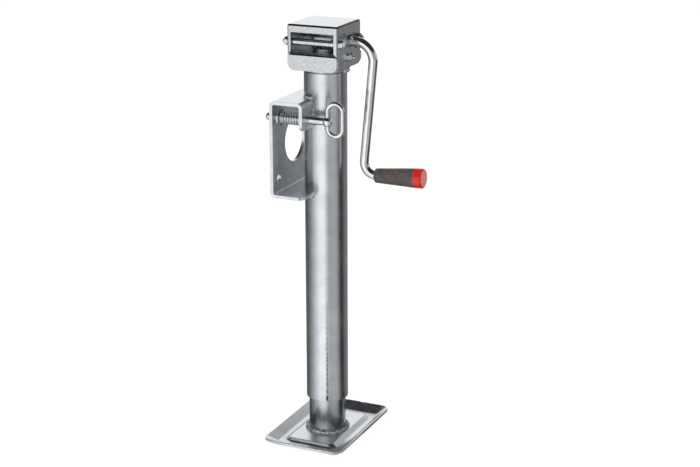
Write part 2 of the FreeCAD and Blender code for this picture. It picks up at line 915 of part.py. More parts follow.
def bevel_gear():
    """Bevel gear on the screw, its teeth facing up to the crank shaft."""
    back = shaft_z - gear_back
    teeth, levels = toothed_cone(gear_teeth, pinion_teeth, -tooth_shift, 0, back + teeth_beyond)
    root_at = on_cone(levels, levels["root"])[1] * small_end
    blank = bevel_blank(levels, back, root_at)
    dish = levels["pitch_r"] * gear_dish
    core = turned([(0, back), (0, root_at), (dish, root_at), (dish, back)], V(0, 0, 0), Z_AXIS)
    gear = blank.common(teeth).fuse(core).removeSplitter()
    gear.rotate(V(0, 0, 0), X_AXIS, 180)
    gear.translate(V(0, 0, shaft_z))
    bore = bar(screw_journal_r, V(0, 0, gear_back - over), V(0, 0, shaft_z))
    return gear.cut([bore, gear_key()])


def bevel_pinion():
    """Bevel pinion on the crank shaft, with a hub against the rod's shoulder."""
    half_tooth = math.pi / pinion_teeth
    levels = tooth_levels(pinion_teeth, gear_teeth, tooth_shift)
    root_at = on_cone(levels, levels["root"])[1]
    height = root_at + teeth_beyond
    teeth, levels = toothed_cone(pinion_teeth, gear_teeth, tooth_shift, half_tooth, height)
    blank = bevel_blank(levels, root_at + pinion_back, root_at * small_end)
    hub = bar(pinion_hub_r, V(0, 0, root_at + pinion_back), V(0, 0, shoulder_x))
    pinion = blank.common(teeth).fuse(hub).removeSplitter()
    pinion.rotate(V(0, 0, 0), Y_AXIS, 90)
    pinion.translate(V(0, 0, shaft_z))
    bore = bar(journal_r, V(0, 0, shaft_z), V(shoulder_x, 0, shaft_z))
    return pinion.cut([bore, pinion_pin()])


def pinion_pin():
    """Pin through the pinion's hub and the shaft."""
    levels = tooth_levels(pinion_teeth, gear_teeth, tooth_shift)
    x = (on_cone(levels, levels["root"])[1] + pinion_back + shoulder_x) / 2
    return bar(
        pinion_pin_r, V(x, 0, shaft_z - pinion_hub_r), V(x, 0, shaft_z + pinion_hub_r)
    )


def grip_direction():
    rise = math.radians(grip_rise)
    return V(math.cos(rise), 0, math.sin(rise))


def lower_corner():
    lean = math.radians(arm_lean)
    return V(arm_corner_x - arm_length * math.sin(lean), 0, shaft_z - arm_length * math.cos(lean))


def on_grip(distance):
    """Point on the grip's axis, measured from the lower corner."""
    return lower_corner() + grip_direction() * distance


def shaft_pin():
    """Leaning pin through the rod, just outside the bush."""
    centre = V(head_half_width + bush_stand + moving_clearance + shaft_pin_r, 0, shaft_z)
    lean = math.radians(shaft_pin_lean)
    half = V(0, -math.sin(lean), math.cos(lean)) * (shaft_pin_length / 2)
    return bar(shaft_pin_r, centre - half, centre + half)


def crank_rod():
    """Bent round bar: journal, shaft, arm and the spindle inside the grip."""
    socket = grip_start + grip_length - grip_socket_depth
    spindle_end = socket + moving_clearance + retainer_t + rod_end
    points = [
        V(shoulder_x, 0, shaft_z),
        V(arm_corner_x, 0, shaft_z),
        lower_corner(),
        on_grip(spindle_end),
    ]
    rod = round_bar_along(bent_path(points, [arm_bend_r, grip_bend_r]), rod_r)
    far = -(head_half_width + bush_stand + moving_clearance + clip_t + journal_end)
    journal = bar(journal_r, V(far, 0, shaft_z), V(shoulder_x, 0, shaft_z))
    return rod.fuse(journal).cut([shaft_pin(), pinion_pin()])


def shaft_clip():
    """Push-on clip at the far end of the shaft."""
    start = head_half_width + bush_stand + moving_clearance
    return tube_between(
        clip_r, journal_r, V(-start, 0, shaft_z), V(-start - clip_t, 0, shaft_z)
    )


def grip_retainer():
    """Washer pressed on the spindle, inside the grip's socket."""
    start = grip_start + grip_length - grip_socket_depth + moving_clearance
    return tube_between(retainer_r, rod_r, on_grip(start), on_grip(start + retainer_t))


def grip_grooves():
    """Two rows of short grooves across the sleeve, along its top and along its underside."""
    taper = (grip_r_outer - grip_r_inner) / (grip_length - grip_collar - grip_nose_r)
    last = grip_length - grip_collar - 2 * grip_groove_pitch
    grooves = []
    for i in range(int((last - grip_groove_pitch) / grip_groove_pitch)):
        along = (i + 2) * grip_groove_pitch
        surface = grip_r_inner + taper * (along - grip_nose_r)
        ring_r = surface - grip_groove_depth + grip_groove_r
        for side in (1, -1):
            centre = V(side * ring_r, 0, along)
            across = V(0, grip_groove_half, 0)
            grooves.append(bar(grip_groove_r, centre - across, centre + across))
    return grooves


def grip_sleeve():
    """Tapered sleeve that turns on the spindle, with a row of grooves above and below."""
    bore = rod_r + running_clearance
    socket = grip_length - grip_socket_depth
    socket_r = cap_r - cap_wall
    outline = [
        (bore, 0),
        (grip_r_inner, 0),
        (grip_r_inner, grip_nose_r),
        (grip_r_outer, grip_length - grip_collar),
        (grip_r_outer, grip_length),
        (socket_r, grip_length),
        (socket_r, socket),
        (bore, socket),
    ]
    sleeve = turned(outline, V(0, 0, 0), Z_AXIS)
    nose = [
        e for e in sleeve.Edges
        if e.BoundBox.ZMax < grip_nose_r / 2 and e.BoundBox.XLength > 2 * rod_r + over
    ]
    sleeve = sleeve.makeFillet(grip_nose_r - moving_clearance, nose)
    return placed(sleeve.cut(grip_grooves()), on_grip(grip_start), grip_direction())


def grip_cap():
    """Hollow end cap with a rounded end, its spigot pressed into the sleeve's socket."""
    spigot_r = cap_r - cap_wall
    inside_r = retainer_r + moving_clearance
    back = -(grip_socket_depth - moving_clearance)
    outline = [
        (inside_r, back),
        (spigot_r, back),
        (spigot_r, 0),
        (cap_r, 0),
        (cap_r, cap_length),
        (0, cap_length),
        (0, cap_length - cap_end_wall),
        (inside_r, cap_length - cap_end_wall),
    ]
    cap = turned(outline, V(0, 0, 0), Z_AXIS)
    rim = [e for e in cap.Edges if e.BoundBox.ZMin > cap_length - cap_round]
    cap = cap.makeFillet(cap_round, [e for e in rim if e.BoundBox.XLength > cap_r])
    return placed(cap, on_grip(grip_start + grip_length), grip_direction())


def bracket_profile():
    """Folded strip seen from the front: bottom flange, back, top flange and lip."""
    s = bracket_sheet
    corners = [
        (bracket_front, bracket_bottom),
        (bracket_back, bracket_bottom),
        (bracket_back, bracket_top),
        (bracket_front, bracket_top),
        (bracket_front, lip_bottom),
        (lip_inside, lip_bottom),
        (lip_inside, bracket_top - s),
        (bracket_inside, bracket_top - s),
        (bracket_inside, bracket_bottom + s),
        (bracket_front, bracket_bottom + s),
    ]
    outside, inside = bracket_bend_r, bracket_bend_r - s
    radii = [0, outside, outside, outside, 0, 0, inside, inside, inside, 0]
    face = outline_face(corners, radii, lambda a, b: V(a, -bracket_half, b))
    return face.extrude(V(0, 2 * bracket_half, 0))


def bracket_trims():
    """Top view and front view limits of the bracket: chamfered and rounded corners."""
    c = flange_chamfer
    half = bracket_half
    bottom_corners = [
        (bracket_back - over, -half),
        (bracket_front - c, -half),
        (bracket_front, -half + c),
        (bracket_front, half - c),
        (bracket_front - c, half),
        (bracket_back - over, half),
    ]
    low = outline_face(bottom_corners, [0] * 6, lambda a, b: V(a, b, bracket_bottom))
    low = low.extrude(V(0, 0, lip_bottom - bracket_bottom - over))
    lip_corners = [
        (-half, lip_bottom),
        (half, lip_bottom),
        (half, bracket_top),
        (-half, bracket_top),
    ]
    radii = [lip_corner_r, lip_corner_r, 0, 0]
    high = outline_face(lip_corners, radii, lambda a, b: V(lip_inside - over, a, b))
    high = high.extrude(V(bracket_sheet + 2 * over, 0, 0))
    rest = box_between(
        V(bracket_back, -half, bracket_bottom), V(lip_inside - over, half, bracket_top)
    )
    return low.fuse([high, rest])


def mount_bracket():
    """Bent channel behind and beside the tube, with the pipe mount hole."""
    bracket = bracket_profile().common(bracket_trims())
    back = V(bracket_back - over, 0, 0)
    front = V(bracket_inside + over, 0, 0)
    pipe = V(0, pipe_bore_y, pipe_bore_z)
    lock = V(0, lock_hole_y, lock_hole_z)
    pin = V(0, pin_y, pin_z)
    cuts = [
        Part.makeCylinder(tube_r, head_top),
        bar(pipe_bore_r, back + pipe, front + pipe),
        bar(lock_hole_r, back + lock, front + lock),
        bar(pin_r + running_clearance, back + pin, V(bracket_front + over, 0, 0) + pin),
    ]
    bracket = bracket.cut(cuts).removeSplitter()
    rims = [
        e for e in bracket.Edges
        if hasattr(e.Curve, "Radius") and abs(e.Curve.Radius - lock_hole_r) < running_clearance
        and e.BoundBox.XLength < running_clearance
    ]
    return bracket.makeChamfer(lock_hole_chamfer, rims)


def bracket_welds(bracket):
    """Stitches between bracket and tube: on both flanges and down both lips."""
    edge = math.degrees(math.acos(bracket_front / tube_r))
    beads = []
    for z in (bracket_top, bracket_bottom):
        for start in (edge, 360 - edge - weld_arc):
            beads.append(arc_bead(weld_r, tube_r, z, start, start + weld_arc))
    meet = math.sqrt(tube_r ** 2 - bracket_front ** 2)
    for side in (1, -1):
        foot = V(bracket_front, side * meet, lip_bottom + weld_low)
        beads.append(bar(weld_r, foot, V(foot.x, foot.y, bracket_top - weld_high)))
    tube = Part.makeCylinder(tube_r, head_top)
    channel = box_between(
        V(bracket_back, -bracket_half, bracket_bottom), V(bracket_front, bracket_half, bracket_top)
    )
    return [bead.cut([tube, bracket, channel]) for bead in beads]


def plunger_pin():
    """Lock pin with a rounded nose and an eye for the ring."""
    nose = bracket_back - pin_nose
    end = ring_x + pin_end
    pin = bar(pin_r, V(nose, pin_y, pin_z), V(end, pin_y, pin_z))
    front = [e for e in pin.Edges if e.BoundBox.XMax < nose + near]
    pin = pin.makeFillet(pin_nose_round, front)
    back = [e for e in pin.Edges if e.BoundBox.XMin > end - near]
    pin = pin.makeFillet(pin_end_round, back)
    eye_ball = Part.makeSphere(pin_eye_r, V(ring_x - running_clearance, pin_y, pin_z))
    pin = pin.fuse(eye_ball)
    eye = bar(
        ring_wire / 2 + running_clearance,
        V(ring_x, pin_y, pin_z - 2 * pin_r),
        V(ring_x, pin_y, pin_z + 2 * pin_r),
    )
    return pin.cut([eye, plunger_cross_pin()])


def plunger_cross_pin():
    x = bracket_inside + cross_pin_gap + cross_pin_r
    half = cross_pin_length / 2
    return bar(cross_pin_r, V(x, pin_y, pin_z - half), V(x, pin_y, pin_z + half))


def plunger_washer():
    start = V(spring_start - collar_washer_t, pin_y, pin_z)
    return tube_between(collar_washer_r, pin_r, start, V(spring_start, pin_y, pin_z))


def plunger_spring():
    """Round wire spring between the washer and the bracket's lip, its ends ground flat."""
    length = lip_inside - spring_start
    pitch = length / spring_turns
    middle_r = spring_r - spring_wire / 2
    wire_r = spring_wire / 2
    helix = Part.makeHelix(pitch, length, middle_r)
    section = Part.Wire(Part.makeCircle(wire_r, V(middle_r, 0, 0), Y_AXIS))
    coil = Part.Wire(helix.Edges).makePipeShell([section], True, True)
    coil = placed(coil, V(spring_start, pin_y, pin_z), X_AXIS)
    room = box_between(
        V(spring_start + spring_ground, pin_y - 2 * spring_r, pin_z - 2 * spring_r),
        V(lip_inside - spring_ground, pin_y + 2 * spring_r, pin_z + 2 * spring_r),
    )
    return coil.common(room)


def pull_ring():
    """Oblong wire ring whose ends meet inside the pin's eye."""
    wire_r = ring_wire / 2
    width = ring_width - ring_wire
    half_height = (ring_height - ring_wire) / 2
    middle = pin_z + ring_lift
    right = ring_x + width
    bend = width / 2 - near
    points = [
        V(ring_x, pin_y, pin_z + ring_end_gap / 2),
        V(ring_x, pin_y, middle + half_height),
        V(right, pin_y, middle + half_height),
        V(right, pin_y, middle - half_height),
        V(ring_x, pin_y, middle - half_height),
        V(ring_x, pin_y, pin_z - ring_end_gap / 2),
    ]
    return round_bar_along(bent_path(points, [bend] * 4), wire_r)


def export(node, shape):
    """Write one node; a list is a group of separate solids."""
    solids = []
    for piece in shape if isinstance(shape, list) else [shape]:
        solids += piece.Solids
    kept = solids[0] if len(solids) == 1 else Part.makeCompound(solids)
    kept.exportStep("parts/" + node + ".step")
    print(node, len(solids), "solids", round(sum(s.Volume for s in solids)), "mm3", kept.isValid())


os.makedirs("parts", exist_ok=True)
the_base = head_base()
the_bracket = mount_bracket()
nodes = {
    "outer_tube": outer_tube(),
    "mount_bracket": the_bracket,
    "bracket_welds": bracket_welds(the_bracket),
    "head_base": the_base,
    "head_cover": head_cover(),
    "front_tie_bolt": tie_bolt(front_bolt_y, front_bolt_z, 1),
    "rear_tie_bolt": tie_bolt(rear_bolt_y, rear_bolt_z, -1),
    "tie_nuts": tie_nuts(),
    "tie_washers": tie_washers(),
    "tie_sleeves": tie_sleeves(),
    "side_studs": side_studs(),
    "side_nuts": side_nuts(),
    "side_washers": side_washers(),
    "shaft_bush_right": shaft_bush(1, rod_r + running_clearance, bush_right_r),
    "shaft_bush_left": shaft_bush(-1, journal_r + running_clearance, bush_left_r),
    "upper_race": upper_race(),
    "thrust_balls": thrust_balls(),
    "head_welds": head_welds(the_base),
    "lead_screw": lead_screw(),
    "thrust_collar": thrust_collar(),
    "lower_race": lower_race(),
    "bevel_gear": bevel_gear(),
    "gear_key": gear_key(),
    "gear_nut": gear_nut(),
    "screw_stop": screw_stop(),
    "inner_tube": inner_tube(),
    "travel_nut": travel_nut(),
    "foot_plate": foot_plate(),
    "foot_weld": foot_weld(),
    "crank_rod": crank_rod(),
    "bevel_pinion": bevel_pinion(),
    "pinion_pin": pinion_pin(),
    "shaft_pin": shaft_pin(),
    "shaft_clip": shaft_clip(),
    "grip_retainer": grip_retainer(),
    "grip_sleeve": grip_sleeve(),
    "grip_cap": grip_cap(),
    "plunger_pin": plunger_pin(),
    "plunger_washer": plunger_washer(),
    "plunger_cross_pin": plunger_cross_pin(),
    "plunger_spring": plunger_spring(),
    "pull_ring": pull_ring(),
}
for name, shape in nodes.items():
    export(name, shape)
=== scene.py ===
import json
import math

import bmesh
import bpy
from mathutils import Matrix, Vector, noise

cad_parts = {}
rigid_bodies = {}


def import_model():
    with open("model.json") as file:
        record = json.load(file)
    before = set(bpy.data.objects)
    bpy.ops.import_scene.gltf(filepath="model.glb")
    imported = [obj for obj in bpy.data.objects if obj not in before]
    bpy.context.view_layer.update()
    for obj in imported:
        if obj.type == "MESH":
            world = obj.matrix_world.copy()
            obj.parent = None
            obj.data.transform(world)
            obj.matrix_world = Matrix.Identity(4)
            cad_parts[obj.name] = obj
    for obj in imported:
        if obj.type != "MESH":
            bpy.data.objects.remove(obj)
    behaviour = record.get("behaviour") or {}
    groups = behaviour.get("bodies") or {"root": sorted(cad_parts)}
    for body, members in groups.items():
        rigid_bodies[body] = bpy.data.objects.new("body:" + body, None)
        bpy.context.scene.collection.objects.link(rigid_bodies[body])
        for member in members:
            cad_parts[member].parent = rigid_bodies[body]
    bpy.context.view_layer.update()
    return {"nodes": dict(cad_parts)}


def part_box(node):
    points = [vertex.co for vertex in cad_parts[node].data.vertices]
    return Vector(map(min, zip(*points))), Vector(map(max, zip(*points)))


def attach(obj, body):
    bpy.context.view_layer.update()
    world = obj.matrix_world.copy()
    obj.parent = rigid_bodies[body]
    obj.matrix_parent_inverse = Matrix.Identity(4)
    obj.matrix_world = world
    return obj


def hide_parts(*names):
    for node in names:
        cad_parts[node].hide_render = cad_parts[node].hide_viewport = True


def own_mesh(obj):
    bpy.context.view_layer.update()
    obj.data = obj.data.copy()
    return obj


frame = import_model()

MM = 0.001
NODES = frame["nodes"]
FULL_TURN = 2 * math.pi

# Measures of the stand, as in the CAD model, in millimetres
TUBE_R = 28.5
GRIP_RISE = math.radians(2.6)    # slope of the grip's axis
GRIP_DIRECTION = (math.cos(GRIP_RISE), 0.0, math.sin(GRIP_RISE))


# Camera, at the photograph's place

CAMERA_PLACE = Vector((0.88384, -1.86477, 0.91910))
CAMERA_TARGET = Vector((0.0286, 0.0130, 0.2859))
CAMERA_ROLL = math.radians(-0.104)
FRAME_WIDTH_PX = 700
FOCAL_PX = 1611.446
SENSOR_MM = 36.0
CLIP_END = 50.0


def make_camera():
    """Camera looking along its own -Z at the target, with the small roll of the photograph."""
    data = bpy.data.cameras.new("camera")
    data.sensor_width = SENSOR_MM
    data.lens = FOCAL_PX / FRAME_WIDTH_PX * SENSOR_MM
    data.clip_end = CLIP_END
    camera = bpy.data.objects.new("camera", data)
    bpy.context.scene.collection.objects.link(camera)
    back = (CAMERA_PLACE - CAMERA_TARGET).normalized()
    right = Vector((0, 0, 1)).cross(back).normalized()
    up = back.cross(right)
    turn = Matrix((right, up, back)).transposed()
    turn = turn @ Matrix.Rotation(CAMERA_ROLL, 3, "Z")
    camera.matrix_world = Matrix.Translation(CAMERA_PLACE) @ turn.to_4x4()
    bpy.context.scene.camera = camera


# Colours and node helper

def linear(hex_colour):
    """sRGB hex value as the linear colour that the shaders take."""
    channels = []
    for i in (1, 3, 5):
        value = int(hex_colour[i:i + 2], 16) / 255
        value = value / 12.92 if value <= 0.04045 else ((value + 0.055) / 1.055) ** 2.4
        channels.append(value)
    return (*channels, 1.0)


def add_node(tree, kind, settings=None, values=None, links=None):
    """One node: its settings, the values of its sockets and the links into them."""
    node = tree.nodes.new(kind)
    for key, value in (settings or {}).items():
        setattr(node, key, value)
    for key, value in (values or {}).items():
        node.inputs[key].default_value = value
    for key, source in (links or {}).items():
        tree.links.new(source, node.inputs[key])
    return node


def new_material(name):
    """Empty node material with its output."""
    material = bpy.data.materials.new(name)
    material.use_nodes = True
    material.node_tree.nodes.clear()
    output = add_node(material.node_tree, "ShaderNodeOutputMaterial")
    return material, material.node_tree, output


def ramp(tree, source, stops):
    """Colour ramp through (position, colour) stops."""
    node = add_node(tree, "ShaderNodeValToRGB", links={"Fac": source})
    elements = node.color_ramp.elements
    while len(elements) < len(stops):
        elements.new(0.5)
    for element, (position, colour) in zip(elements, stops):
        element.position = position
        element.color = colour
    return node.outputs["Color"]


def grey(value):
    """Even value for a mask or for the strength of a light."""
    return (value, value, value, 1.0)


NOISE_LOW = 0.35             # the range that a noise pattern mostly keeps to
NOISE_HIGH = 0.65
SEAM_AND_SHADE_TONE = "#1d1e20"         # dark tone of the weld seam, and of the painted shade lines under the head and along bends
METAL_RELIEF = 0.2           # depth that a bump of strength 1 stands for, millimetres
PLASTIC_RELIEF = 0.1
PLASTIC_CLOUDS = 9.0         # size of the moulded colour's clouds, millimetres
PLASTIC_LOW = 0.3            # the range of the clouds over which its roughness changes
PLASTIC_HIGH = 0.7
SCUFF_SIZE = 3.2
SCUFF_LOW = 0.62             # share of the noise above which a scuff shows, up to its full tone
SCUFF_HIGH = 0.72
SCUFF_STRENGTH = 0.55
END_HIGHLIGHT_LOW = 0.972             # how squarely a face looks along the grip where the painted highlight starts to pale it
END_HIGHLIGHT_HIGH = 0.998
END_HIGHLIGHT_STRENGTH = 0.9


def metal(
    name, low, high, rough_low, rough_high, mottle_mm, grain_mm, bump,
    streak_mm=(1, 1, 1), mark=None, metallic=1.0, edge_mm=0.5,
):
    """Plated steel: two tones mixed by a cloudy pattern, roughness and a fine bump that follow it.

    mottle_mm is the size of the clouds. grain_mm is the grain of the skin, drawn coarser than
    the real one, which is too fine to show. streak_mm stretches it along an axis.
    mark(tree) gives a mask for something dark drawn on the surface, such as a seam or a line of
    painted shade.
    edge_mm is the worn radius that catches the light along cut edges.
    """
    material, tree, output = new_material(name)
    place = add_node(tree, "ShaderNodeTexCoord").outputs["Object"]
    clouds = add_node(
        tree, "ShaderNodeTexNoise",
        values={"Scale": 1 / (mottle_mm * MM), "Detail": 5.0, "Roughness": 0.6},
        links={"Vector": place},
    ).outputs["Fac"]
    stretched = add_node(
        tree, "ShaderNodeMapping",
        values={"Scale": tuple(1 / s for s in streak_mm)},
        links={"Vector": place},
    ).outputs["Vector"]
    grain = add_node(
        tree, "ShaderNodeTexNoise",
        values={"Scale": 1 / (grain_mm * MM), "Detail": 3.0, "Roughness": 0.55},
        links={"Vector": stretched},
    ).outputs["Fac"]
    tone = ramp(tree, clouds, [(NOISE_LOW, linear(low)), (NOISE_HIGH, linear(high))])
    # the mark's dark tone: a real seam, or painted shade where the mark stands for it
    if mark:
        tone = add_node(
            tree, "ShaderNodeMix", {"data_type": "RGBA"}, {7: linear(SEAM_AND_SHADE_TONE)},
            {0: mark(tree), 6: tone},
        ).outputs[2]
    mixed = add_node(
        tree, "ShaderNodeMath", {"operation": "MULTIPLY_ADD"}, {1: 0.5, 2: 0.0}, {0: clouds}
    ).outputs["Value"]
    both = add_node(
        tree, "ShaderNodeMath", {"operation": "MULTIPLY_ADD"}, {1: 0.5}, {0: grain, 2: mixed}
    ).outputs["Value"]
    rough = add_node(
        tree, "ShaderNodeMapRange",
        values={
            "From Min": NOISE_LOW, "From Max": NOISE_HIGH,
            "To Min": rough_low, "To Max": rough_high,
        },
        links={"Value": both},
    ).outputs["Result"]
    edge = add_node(tree, "ShaderNodeBevel", {"samples": 4}, {"Radius": edge_mm * MM})
    relief = add_node(
        tree, "ShaderNodeBump",
        values={"Strength": bump, "Distance": METAL_RELIEF * MM},
        links={"Height": grain, "Normal": edge.outputs["Normal"]},
    ).outputs["Normal"]
    shader = add_node(
        tree, "ShaderNodeBsdfPrincipled",
        values={"Metallic": metallic},
        links={"Base Color": tone, "Roughness": rough, "Normal": relief},
    )
    tree.links.new(shader.outputs["BSDF"], output.inputs["Surface"])
    return material


def moulded_plastic(
    name, low, high, rough_low, rough_high, grain_mm, bump, scuff=None, end=None
):
    """Moulded plastic: slight colour change, fine grain and, where given, paler scuffs.

    end is the tone of a face that looks along the grip's axis, a painted pale highlight.
    """
    material, tree, output = new_material(name)
    place = add_node(tree, "ShaderNodeTexCoord").outputs["Object"]
    clouds = add_node(
        tree, "ShaderNodeTexNoise",
        values={"Scale": 1 / (PLASTIC_CLOUDS * MM), "Detail": 4.0, "Roughness": 0.6},
        links={"Vector": place},
    ).outputs["Fac"]
    grain = add_node(
        tree, "ShaderNodeTexNoise",
        values={"Scale": 1 / (grain_mm * MM), "Detail": 2.0},
        links={"Vector": place},
    ).outputs["Fac"]
    tone = ramp(tree, clouds, [(NOISE_LOW, linear(low)), (NOISE_HIGH, linear(high))])
    if scuff:
        marks = add_node(
            tree, "ShaderNodeTexNoise",
            values={"Scale": 1 / (SCUFF_SIZE * MM), "Detail": 8.0, "Roughness": 0.75},
            links={"Vector": place},
        ).outputs["Fac"]
        mask = ramp(tree, marks, [(SCUFF_LOW, grey(0.0)), (SCUFF_HIGH, grey(SCUFF_STRENGTH))])
        tone = add_node(
            tree, "ShaderNodeMix", {"data_type": "RGBA"}, {7: linear(scuff)}, {0: mask, 6: tone}
        ).outputs[2]
    # painted highlight: faces that look along the grip's axis are paled towards the end tone
    if end:
        facing = add_node(
            tree, "ShaderNodeVectorMath", {"operation": "DOT_PRODUCT"}, {1: GRIP_DIRECTION},
            {0: add_node(tree, "ShaderNodeTexCoord").outputs["Normal"]},
        ).outputs["Value"]
        mask = ramp(tree, facing, [(END_HIGHLIGHT_LOW, grey(0.0)), (END_HIGHLIGHT_HIGH, grey(END_HIGHLIGHT_STRENGTH))])
        tone = add_node(
            tree, "ShaderNodeMix", {"data_type": "RGBA"}, {7: linear(end)}, {0: mask, 6: tone}
        ).outputs[2]
    rough = add_node(
        tree, "ShaderNodeMapRange",
        values={
            "From Min": PLASTIC_LOW, "From Max": PLASTIC_HIGH,
            "To Min": rough_low, "To Max": rough_high,
        },
        links={"Value": clouds},
    ).outputs["Result"]
    relief = add_node(
        tree, "ShaderNodeBump",
        values={"Strength": bump, "Distance": PLASTIC_RELIEF * MM},
        links={"Height": grain},
    ).outputs["Normal"]
    shader = add_node(
        tree, "ShaderNodeBsdfPrincipled",
        values={"IOR": 1.5},
        links={"Base Color": tone, "Roughness": rough, "Normal": relief},
    )
    tree.links.new(shader.outputs["BSDF"], output.inputs["Surface"])
    return material


SEAM_AZIMUTH = -65.0         # place of the seam, degrees round the tube from +X
SEAM_CORE = 0.020            # half widths of the seam's line, radians round the tube
SEAM_EDGE = 0.070
SEAM_STRENGTH = 0.95
SEAM_CLEAR = 70.0            # height up to which the seam shows clearly, and where it is gone
SEAM_FAINT = 230.0
SEAM_SPOTS = 2.6             # size of the spots that break the line
SPOT_LOW = 0.38              # shares of the noise between which a gap turns into line
SPOT_HIGH = 0.56
SPOT_GAP = 0.30              # how much of the line stays in a gap
HEAD_SHADOW_LINE = 508.6            # height of the painted shadow line under the head, and its half widths
HEAD_SHADOW_CORE = 0.3
HEAD_SHADOW_EDGE = 1.3
HEAD_SHADOW_STRENGTH = 0.8


def seam_and_head_shadow_mark(tree):
    """Mask of the tube's dark marks: its weld seam, a thin broken line up from the guide
    dimple, and a painted shadow line round it under the head.
    """
    place = add_node(tree, "ShaderNodeTexCoord").outputs["Object"]
    parts = add_node(tree, "ShaderNodeSeparateXYZ", links={"Vector": place}).outputs
    angle = add_node(
        tree, "ShaderNodeMath", {"operation": "ARCTAN2"}, links={0: parts["Y"], 1: parts["X"]}
    ).outputs["Value"]
    away = add_node(
        tree, "ShaderNodeMath", {"operation": "SUBTRACT"}, {1: math.radians(SEAM_AZIMUTH)},
        {0: angle},
    ).outputs["Value"]
    away = add_node(tree, "ShaderNodeMath", {"operation": "ABSOLUTE"}, links={0: away}).outputs[0]
    line = ramp(tree, away, [(SEAM_CORE, grey(SEAM_STRENGTH)), (SEAM_EDGE, grey(0.0))])
    low = add_node(
        tree, "ShaderNodeMapRange",
        values={"From Min": SEAM_FAINT * MM, "From Max": SEAM_CLEAR * MM},
        links={"Value": parts["Z"]},
    ).outputs["Result"]
    dots = add_node(
        tree, "ShaderNodeTexNoise",
        values={"Scale": 1 / (SEAM_SPOTS * MM), "Detail": 2.0},
        links={"Vector": place},
    ).outputs["Fac"]
    broken = ramp(tree, dots, [(SPOT_LOW, grey(SPOT_GAP)), (SPOT_HIGH, grey(1.0))])
    mask = add_node(
        tree, "ShaderNodeMath", {"operation": "MULTIPLY"}, links={0: line, 1: low}
    ).outputs["Value"]
    seam = add_node(
        tree, "ShaderNodeMath", {"operation": "MULTIPLY"}, links={0: mask, 1: broken}
    ).outputs["Value"]
    # painted shadow: a dark line round the tube just under the head
    rise = add_node(
        tree, "ShaderNodeMath", {"operation": "SUBTRACT"}, {1: HEAD_SHADOW_LINE * MM}, {0: parts["Z"]}
    ).outputs["Value"]
    rise = add_node(tree, "ShaderNodeMath", {"operation": "ABSOLUTE"}, links={0: rise}).outputs[0]
    ring = add_node(
        tree, "ShaderNodeMapRange",
        values={
            "From Min": HEAD_SHADOW_CORE * MM, "From Max": HEAD_SHADOW_EDGE * MM,
            "To Min": HEAD_SHADOW_STRENGTH, "To Max": 0.0,
        },
        links={"Value": rise},
    ).outputs["Result"]
    return add_node(
        tree, "ShaderNodeMath", {"operation": "MAXIMUM"}, links={0: seam, 1: ring}
    ).outputs["Value"]


def zinc_drawn_tube(name, mark=None):
    """Zinc plated drawn tube: smooth, with long faint streaks along the draw."""
    return metal(
        name, "#bcbfc4", "#cdd0d4", 0.20, 0.30,
        mottle_mm=30, grain_mm=0.9, bump=0.03, streak_mm=(1, 1, 40), mark=mark,
    )


BEND_SHADE_LOW = 0.25              # upward share of the normal where the painted shade along a bend starts and ends
BEND_SHADE_HIGH = 0.90
BEND_SHADE_FADE = 0.06
BEND_SHADE_STRENGTH = 0.92


def painted_bend_shade_mask(tree):
    """Mask of the painted shade along the sheet's tight upper bends: a painted dark reflection
    line.
    """
    facing = add_node(tree, "ShaderNodeTexCoord").outputs["Normal"]
    upward = add_node(tree, "ShaderNodeSeparateXYZ", links={"Vector": facing}).outputs["Z"]
    return ramp(tree, upward, [
        (BEND_SHADE_LOW, grey(0.0)), (BEND_SHADE_LOW + BEND_SHADE_FADE, grey(BEND_SHADE_STRENGTH)),
        (BEND_SHADE_HIGH, grey(BEND_SHADE_STRENGTH)), (BEND_SHADE_HIGH + BEND_SHADE_FADE, grey(0.0)),
    ])


def zinc_pressed_sheet():
    """Zinc plated pressed sheet: satin, slightly mottled by the plating, with painted shade along
    its upper bends.
    """
    return metal(
        "zinc_pressed_sheet", "#b9bcc0", "#d1d3d6", 0.22, 0.38,
        mottle_mm=4, grain_mm=0.9, bump=0.10, mark=painted_bend_shade_mask,
    )


def zinc_plate_steel():
    """Zinc plated hot rolled plate: pale, with a dull and slightly uneven skin."""
    return metal(
        "zinc_plate_steel", "#cfd2d7", "#e4e7ea", 0.29, 0.43,
        mottle_mm=12, grain_mm=1.4, bump=0.08,
    )


def zinc_pressed_plate():
    """Zinc plated pressing, smoothed by the tool: pale and satin, with soft clouds."""
    return metal(
        "zinc_pressed_plate", "#c2c5ca", "#d8dbde", 0.26, 0.40,
        mottle_mm=12, grain_mm=1.4, bump=0.08,
    )


def zinc_bright_bar():
    """Bright drawn bar under zinc: the shiniest metal, hard narrow reflections."""
    return metal(
        "zinc_bright_bar", "#cfd1d4", "#e2e3e5", 0.07, 0.13,
        mottle_mm=14, grain_mm=0.7, bump=0.02,
    )


def zinc_weld_bead():
    """Weld bead under zinc: darker in its hollows, rough to the light."""
    return metal(
        "zinc_weld_bead", "#9a9c9f", "#e0e2e4", 0.14, 0.32,
        mottle_mm=2.2, grain_mm=0.8, bump=0.15, metallic=0.9, edge_mm=0.1,
    )


def zinc_fastener():
    """Zinc plated bolts, nuts and washers: bright and evenly satin."""
    return metal(
        "zinc_fastener", "#bcbfc2", "#dddfe1", 0.10, 0.19,
        mottle_mm=3, grain_mm=0.5, bump=0.05,
    )


def hardened_steel():
    """Hardened steel of gears, races and screw: darker, with a trace of oil."""
    return metal(
        "hardened_steel", "#9a9c9f", "#bfc1c3", 0.18, 0.32,
        mottle_mm=6, grain_mm=0.6, bump=0.05,
    )


